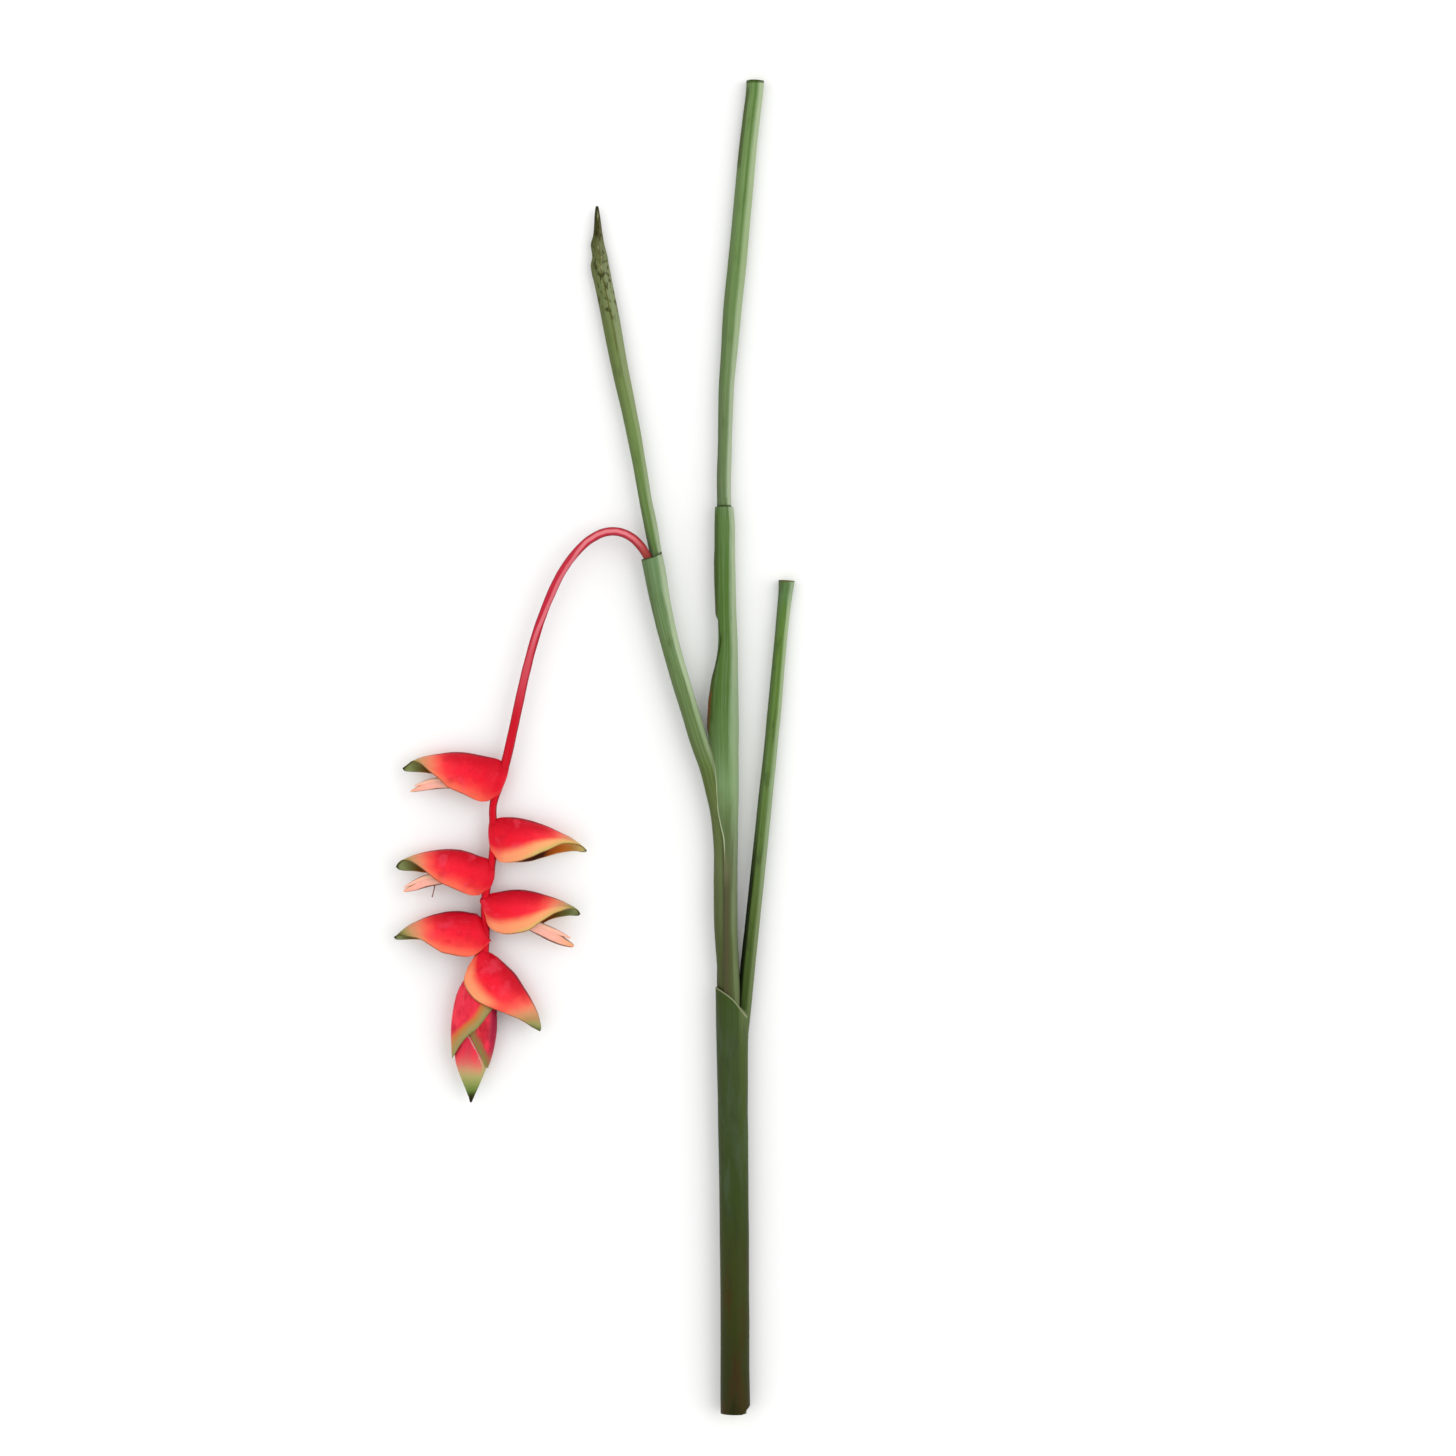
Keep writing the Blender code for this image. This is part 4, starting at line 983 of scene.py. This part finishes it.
def middle_leaf(skins):
    stations = np.array(smooth(MIDDLE_SHEATH, 6))
    front = np.array(smooth(FRONT_MARGIN, 6))
    back = np.array(smooth(BACK_MARGIN, 6))
    low_levels = np.linspace(BUTT_Y, CLOSE_FROM, LOW_ROWS + 1)[:-1]
    high_levels = np.linspace(CLOSE_FROM, SHEATH_TOP, SHEATH_ROWS + 1 - LOW_ROWS)
    levels = np.concatenate([low_levels, high_levels])

    def margin_angle(line, level, x, half_width):
        reach = np.interp(level, line[:, 1], line[:, 0])
        return math.acos(min(max((reach - x) / half_width, -1), 1))

    def place(u, row):
        level = levels[row]
        x, z, half_width, half_depth = (
            np.interp(level, stations[:, 1], stations[:, column]) for column in (0, 2, 3, 4))
        closed = np.interp(level, *CLOSED)
        lapped = np.interp(level, *LAPPED)
        reach = np.interp(level, *SEAM_TURN)
        traced = min(max(level, OPEN_FROM), OPEN_TO)
        open_front = margin_angle(front, traced, x, half_width)
        open_back = margin_angle(back, traced, x, half_width)
        wave = 0.03 * math.sin(level * 0.31)
        seam = 0.012 if level < 150 else 0.0
        front_angle = open_front + (math.pi - seam - open_front) * closed
        back_angle = open_back + (math.pi - seam - open_back) * closed
        front_angle -= (reach + wave) * lapped
        back_angle += (reach + 0.35) * lapped
        lift = 0.6 * max(0, 1 - (1 - u) * 9) * np.interp(level, *LIFTED)
        total = front_angle + back_angle
        lift -= 1.4 * lapped * max(0, 1 - total * u / (reach + 0.6))
        angle = -back_angle + total * u
        arc = total * half_width
        inward = np.interp(level, *LEFT_HOLLOW) * max(-math.cos(angle), 0) ** 1.5
        spot = (x + (half_width + lift) * math.cos(angle) + inward, level,
                z + (half_depth + lift) * math.sin(angle))
        return spot, min(u, 1 - u) * arc, (0, 0, 0)

    leaf = sheet("middle_leaf_skin", SHEATH_ACROSS, SHEATH_ROWS, place)
    group = leaf.vertex_groups.new(name="wall")
    for point in leaf.data.vertices:
        group.add([point.index], float(np.interp(point.co.y / MM, *WALL_SHARE)), "REPLACE")
    activate(leaf)
    start_edit()
    end_edit()
    low_faces = [face for face in leaf.data.polygons if face.center.y < -0.3]
    if sum(math.copysign(1, face.normal.x * (face.center.x - 0.11)) for face in low_faces) < 0:
        leaf.data.flip_normals()
    apply_modifier(leaf, "SOLIDIFY", thickness=SHEATH_WALL * MM, offset=-1, vertex_group="wall")
    tall = stalk("tall", TALL_STALK[:5] + smooth(TALL_STALK[5:], 2), groove=0.3)
    keep(tall, "edge", "FLOAT", np.ones(len(tall.data.vertices)))
    activate(leaf)
    tall.select_set(True)
    bpy.ops.object.join()
    uneven(leaf, 0.3, 13, 8)
    lay_grain(leaf, MIDDLE_SHEATH, TALL_STALK)
    finish_piece(leaf, ["middle_leaf"], skins)
    cap_ends(leaf, 548)


def flag_leaf(skins):
    leaf = stalk("flag_leaf_skin", in_stem(FLAG_RADIUS) + FLAG_BRANCH[:1] + smooth(FLAG_BRANCH[1:], 2))
    rim = smooth(FLAG_RIM, 4) + [(70, 200), (20, 200)]
    combine(leaf, prism(rim), "DIFFERENCE")
    combine(leaf, stalk("hollow", smooth(FLAG_HOLLOW, 2)), "DIFFERENCE")
    combine(leaf, stalk("torn", TORN_STALK, groove=0.25), "UNION")
    combine(leaf, stalk("bore", past_butt(grown(flower_route(), GAP)), sides=12), "DIFFERENCE")
    uneven(leaf, 0.3, 11, 5)
    lay_grain(leaf, in_stem(FLAG_RADIUS) + FLAG_BRANCH[:-1], TORN_STALK)
    lay_edge(leaf, FLAG_RIM)
    finish_piece(leaf, ["flag_leaf"], skins)
    cap_ends(leaf)


def flower_stalk(skins):
    route = flower_route()
    piece = stalk("flower_stalk_skin", route, sides=12)
    uneven(piece, 0.25, 6, 1)
    lay_grain(piece, route)
    finish_piece(piece, ["flower_stalk"], skins)
    cap_ends(piece)


def fold_depth(t, tuck):
    """How far a side stands out from the fold, from 0 at the keel to 1, then tucked in."""
    if t < FULL_DEPTH_AT:
        return math.sin(math.pi / 2 * (t / FULL_DEPTH_AT) ** 0.7)
    return 1 - tuck * ((t - FULL_DEPTH_AT) / (1 - FULL_DEPTH_AT)) ** 2


def depth_at(depths, share):
    place = share * (len(depths) - 1)
    low = min(int(place), len(depths) - 2)
    return depths[low] + (depths[low + 1] - depths[low]) * (place - low)


def bract(name, seed, lining):
    keel, start, front, back, depth, tuck = BRACTS[name]
    outside = bract_skin(name + "_red", BANDS[name], *BEAKS.get(name, BEAKS["usual"]), seed)
    outlines = (keel, start + front + keel[-1:], start + back + keel[-1:])
    keel, front, back = ([Vector(point) for point in smooth(line, 3)] for line in outlines)
    depths = [pair[0] for pair in smooth([(value * depth, 0.0) for value in BRACT_DEPTHS], 6)]
    open_rows = BRACT_ROWS - CLASP_ROWS

    def place(u, row):
        t, near = abs(2 * u - 1), u < 0.5
        share = 0.995 * max(row - CLASP_ROWS, 0) / open_rows
        margin_line = front if near else back
        keel_point, margin = along(keel, share), along(margin_line, share)
        flat = keel_point.lerp(margin, t)
        wave = 0.25 * math.sin(share * 21 + seed) * t ** 4 * min(share * 3, 1)
        height = depth_at(depths, share) * fold_depth(t, tuck) + wave
        base = keel[0].lerp(margin_line[0], t)
        clasp = CLASP_RADIUS[0] + (CLASP_RADIUS[1] - CLASP_RADIUS[0]) * (4 * t * (1 - t)) ** 0.5
        away = (flat - base).length
        if row < CLASP_ROWS:
            turned = math.radians(90) * (1 - row / CLASP_ROWS)
            ahead = (along(keel, 0.12).lerp(along(margin_line, 0.12), t) - base).normalized()
            away = clasp * math.sin(turned)
            flat = base - ahead * away
            height *= math.cos(turned)
        cover = max(clasp ** 2 - away ** 2, 0) ** 0.5 * min(1, 6 * t)
        height = (height ** 4 + cover ** 4) ** 0.25
        width = (margin - keel_point).length
        spot = (flat.x, flat.y, FLOWER_Z + (height if near else -height))
        return spot, (1 - t) * width, (t, share, 0)

    piece = sheet(name + "_skin", BRACT_ACROSS, BRACT_ROWS, place)
    group = piece.vertex_groups.new(name="wall")
    fold = piece.data.attributes["fold"].data
    for point in piece.data.vertices:
        t, share, _ = fold[point.index].vector
        group.add([point.index], min(max((0.985 - share) * 5, 0.08), 1.0 - 0.35 * t), "REPLACE")
    activate(piece)
    start_edit()
    bpy.ops.mesh.remove_doubles(threshold=WELD)
    end_edit()
    faces = piece.data.polygons
    if sum((face.center.z - FLOWER_Z * MM) * face.normal.z for face in faces) < 0:
        piece.data.flip_normals()
    wear(piece, [outside, lining])
    apply_modifier(piece, "SOLIDIFY", thickness=BRACT_WALL * MM, offset=-1, vertex_group="wall",
                   material_offset=1, material_offset_rim=0)
    subdivide(piece, 1)
    uneven(piece, 0.3, 9, seed)
    finish_piece(piece, [name], [], 50)


def flower(name, skins):
    lower, upper = FLOWERS[name]
    piece = stalk(name + "_skin", smooth(lower, 2), sides=12, cut_ends=False)
    combine(piece, stalk("lip", smooth(upper, 2), sides=12, cut_ends=False), "UNION")
    if name == "flower_3":
        combine(piece, stalk("filament", FILAMENT, sides=8, cut_ends=False), "UNION")
    uneven(piece, 0.3, 6, 2)
    lay_grain(piece, lower, upper)
    finish_piece(piece, [name], skins, 50)


def past_ends(bore):
    """Moves both ends of a bore outwards, so that it opens the wrap cleanly."""
    for point in bore.data.vertices:
        if point.co.y > BORE_TOP:
            point.co.y += BORE_PAST
        elif point.co.y < BORE_BOTTOM:
            point.co.y -= BORE_PAST


def bud(skins):
    core = smooth(BUD_CORE, 2)
    tip = stalk("bud_tip_skin", core, sides=24, cut_ends=False)
    lay_grain(tip, BUD_CORE)
    lay_edge(tip, THIRD_EDGE)
    finish_piece(tip, ["bud_tip"], [skins["tip"]], 50)
    wraps = (
        ("bud_third_skin", BUD_CORE, -0.3, 0.25, THIRD_EDGE,
         [(-125, -300), (-135, -236)], "third", []),
        ("bud_inner_skin", BUD_BASE[1:] + BUD_CORE, 0.3, 1.3, INNER_EDGE,
         [(-70, -272), (-70, -170), (-113, -170)], "inner", ["bud_bract_inner"]),
        ("bud_outer_skin", BUD_BASE + BUD_CORE, 1.8, 2.8, OUTER_EDGE,
         [(-135, -262), (-135, -170), (-70, -170)], "outer", ["bud_bract_outer"]))
    for name, stations, low, high, edge, rest, skin, nodes in wraps:
        route = smooth(stations, 2)
        wrap = stalk(name, grown(route, high), sides=24)
        inside = stalk("inside", grown(route, low), sides=24)
        if skin != "third":
            past_ends(inside)
        combine(wrap, inside, "DIFFERENCE")
        combine(wrap, prism(smooth(edge, 4) + rest), "INTERSECT")
        lay_grain(wrap, BUD_CORE)
        lay_edge(wrap, edge)
        finish_piece(wrap, nodes, [skins[skin]], 50)


def studio():
    """Pale floor, soft light from the right, and the camera straight above."""
    bpy.ops.object.select_all(action="DESELECT")
    bpy.ops.mesh.primitive_plane_add(size=8, location=(0.1, 0, -0.0002))
    floor = bpy.context.object
    floor.name = "floor"
    skin = Skin("floor", Specular_IOR_Level=0.1)
    grain = skin.noise(skin.place(), scale=6, detail=3)
    skin.base = skin.mix(grain, "#ffffff", "#fefefd")
    floor.data.materials.append(skin.finish(0.9 + grain * 0.05))

    world = bpy.data.worlds.new("soft room")
    world.use_nodes = True
    nodes, links = world.node_tree.nodes, world.node_tree.links
    direction = nodes.new("ShaderNodeTexCoord")
    height = nodes.new("ShaderNodeSeparateXYZ")
    fade = nodes.new("ShaderNodeMapRange")
    for socket, value in (("From Min", 0.2), ("From Max", 1.0), ("To Min", 0.95), ("To Max", 0.35)):
        fade.inputs[socket].default_value = value
    links.new(direction.outputs["Generated"], height.inputs[0])
    links.new(height.outputs["Z"], fade.inputs["Value"])
    links.new(fade.outputs["Result"], nodes["Background"].inputs["Strength"])
    nodes["Background"].inputs["Color"].default_value = (1, 1, 1, 1)
    bpy.context.scene.world = world

    for name, strength, spread, tilt in (
            ("key", 1.35, 60, (0, 50, 10)), ("fill", 0.95, 80, (0, -45, 0)),
            ("foot", 0.42, 80, (45, 0, 0)), ("head", 0.42, 80, (-45, 0, 0))):
        lamp = bpy.data.lights.new(name, "SUN")
        lamp.energy = strength
        lamp.angle = math.radians(spread)
        holder = bpy.data.objects.new(name, lamp)
        holder.rotation_euler = [math.radians(angle) for angle in tilt]
        bpy.context.scene.collection.objects.link(holder)

    camera = bpy.data.cameras.new("camera")
    holder = bpy.data.objects.new("camera", camera)
    holder.location = (0.1109, 0.0149, 4.0125)
    camera.sensor_width = SENSOR
    camera.lens = SENSOR * VIEW_DISTANCE / VIEW_WIDTH
    bpy.context.scene.collection.objects.link(holder)
    bpy.context.scene.camera = holder
    bpy.context.scene.view_settings.view_transform = "Standard"


outer_green = leaf_skin(
    "outer_green",
    [(-551, "#1e1a08"), (-524, "#262810"), (-457, "#323614"), (-375, "#323f1c"),
     (-251, "#394729"), (-205, "#324519"), (-144, "#42571f"), (-45, "#546e34"), (80, "#54742e"),
     (115, "#547438"), (128, "#587a48"), (134, "#52703e")],
    [(-551, "#282608"), (-457, "#303612"), (-375, "#303c18"), (-251, "#465428"), (-205, "#606e46"),
     (-144, "#78865f"), (-45, "#8ca07a"), (104, "#9fb188"), (134, "#8fa382")],
    "#2a3022", 0.6, [(-551, "#8a9070"), (551, "#8a9070")],
    groove_shadow=(-225, -60), rings=[(136.5, "#5a4428")],
    stains=((-640, -400, "#3c1e0e"), (-400, -200, "#41503c")))
middle_green = leaf_skin(
    "middle_green",
    [(-551, "#3c3818"), (-212, "#44482a"), (-160, "#464b2b"), (-102, "#4f5637"), (-60, "#5a6e44"),
     (-36, "#6c885a"), (0, "#587642"), (38, "#48682e"), (120, "#48682a"), (187, "#507038"),
     (199, "#5c7048"), (253, "#5e7448"), (410, "#66844c"), (517, "#6a894e"), (551, "#64834a")],
    [(-551, "#4c4c28"), (-160, "#6e7c56"), (-102, "#7c896a"), (-36, "#8ba278"), (38, "#90a582"),
     (120, "#a2b391"), (253, "#a2b094"), (410, "#95a97c"), (517, "#a8b894"), (551, "#a8b894")],
    "#46542c", 0.3,
    [(-551, "#4a3e2c"), (-120, "#4c4234"), (-92, "#7a7458"), (-80, "#b3bf9c"), (-30, "#a8b48e"),
     (0, "#8a8a60"), (13, "#241408"), (22, "#5c2a1a"), (46, "#643422"), (66, "#33401a"),
     (150, "#3a3c1c"), (551, "#4a3a1c")],
    # The ring at 198.3 is a painted shadow line under the sheath's rim round the tall stalk.
    broad_rim=-88, rings=[(198.3, "#26301a"), (550.3, "#28380e"), (548.9, "#2c3c12")],
    flanks=((16, 84), (106, 196), (474, 549)),
    hems=((13, 44, 6.2, "#6c3a22"), (54, 92, 4.0, "#2c3a0e")), furrow=(0.34, 0.44))
flag_green = leaf_skin(
    "flag_green",
    [(-551, "#4a4a20"), (-212, "#444c2c"), (-160, "#4e5634"), (-102, "#5f6b44"), (-70, "#586436"),
     (-45, "#55632f"), (-20, "#566a32"), (0, "#5c7040"), (60, "#5e7846"), (120, "#5c784a"),
     (152, "#648258"), (160, "#4e6a34"), (176, "#567438"), (250, "#6a8248"), (330, "#6a7a46"),
     (380, "#6e7a4c"), (405, "#646a40"), (425, "#3e3c20"), (447, "#16120c")],
    [(-551, "#5a5c30"), (-160, "#6a7650"), (-45, "#8a9a74"), (30, "#9aae86"), (60, "#b2c49e"),
     (120, "#aec09c"), (160, "#a2b292"), (250, "#87986a"), (380, "#828b66"), (430, "#5c5a3c"),
     (447, "#2a241a")],
    "#3e4a24", 0.4, [(-551, "#2c2c16"), (551, "#2c2c16")], torn_from=330)
flesh = cut_skin("cut_flesh", "#8d9a5c", "#b4b784")
outer_leaf([outer_green, flesh])
middle_leaf([middle_green, flesh])
flag_leaf([flag_green, flesh])
flower_stalk([stalk_skin("flower_stalk_red"), flesh])
lining = lining_skin("bract_lining", [
    (0.0, "#a03a2a"), (0.5, "#a84a20"), (0.7, "#b05a24"), (0.78, "#8c6a2c"), (0.86, "#84884a"),
    (0.94, "#98a468"), (0.98, "#7c8a4c"), (1.0, "#2c3412")])
bright_lining = lining_skin("bright_lining", [
    (0.0, "#a03a2a"), (0.45, "#4a200a"), (0.54, "#5c2c10"), (0.62, "#d8701e"), (0.74, "#ea842a"),
    (0.84, "#dc9c44"), (0.92, "#e0c070"), (0.97, "#d8cc88"), (1.0, "#8c8e68")])
for number, name in enumerate(BRACTS):
    bract(name, number * 3 + 1, bright_lining if name == "bract_2" else lining)
salmon = flower_skin("petal_salmon")
for name in FLOWERS:
    flower(name, [salmon])
bud({
    "outer": bud_skin("bud_outer_red", "#cc1834", [
        (0.0, "#7c8448"), (0.1, "#989058"), (0.3, "#a88c54"), (0.5, "#b8803e"), (0.68, "#d0703a"),
        (1.0, "#e84c40")], -0.236, 1),
    "inner": bud_skin("bud_inner_red", "#ba1c2c", [
        (0.0, "#7c8440"), (0.1, "#86703c"), (0.3, "#9c6444"), (0.48, "#a84a3c"), (0.62, "#b83034")],
        -0.246, 2),
    "third": bud_skin("bud_third_red", "#cc2c46", [
        (0.0, "#e4c0a8"), (0.06, "#cc8c78"), (0.14, "#cc5058")], -0.246, 3),
    "tip": bud_skin("bud_tip_red", "#cc3c50", [
        (0.0, "#a87460"), (0.06, "#b85860")], -0.237, 4)})
studio()
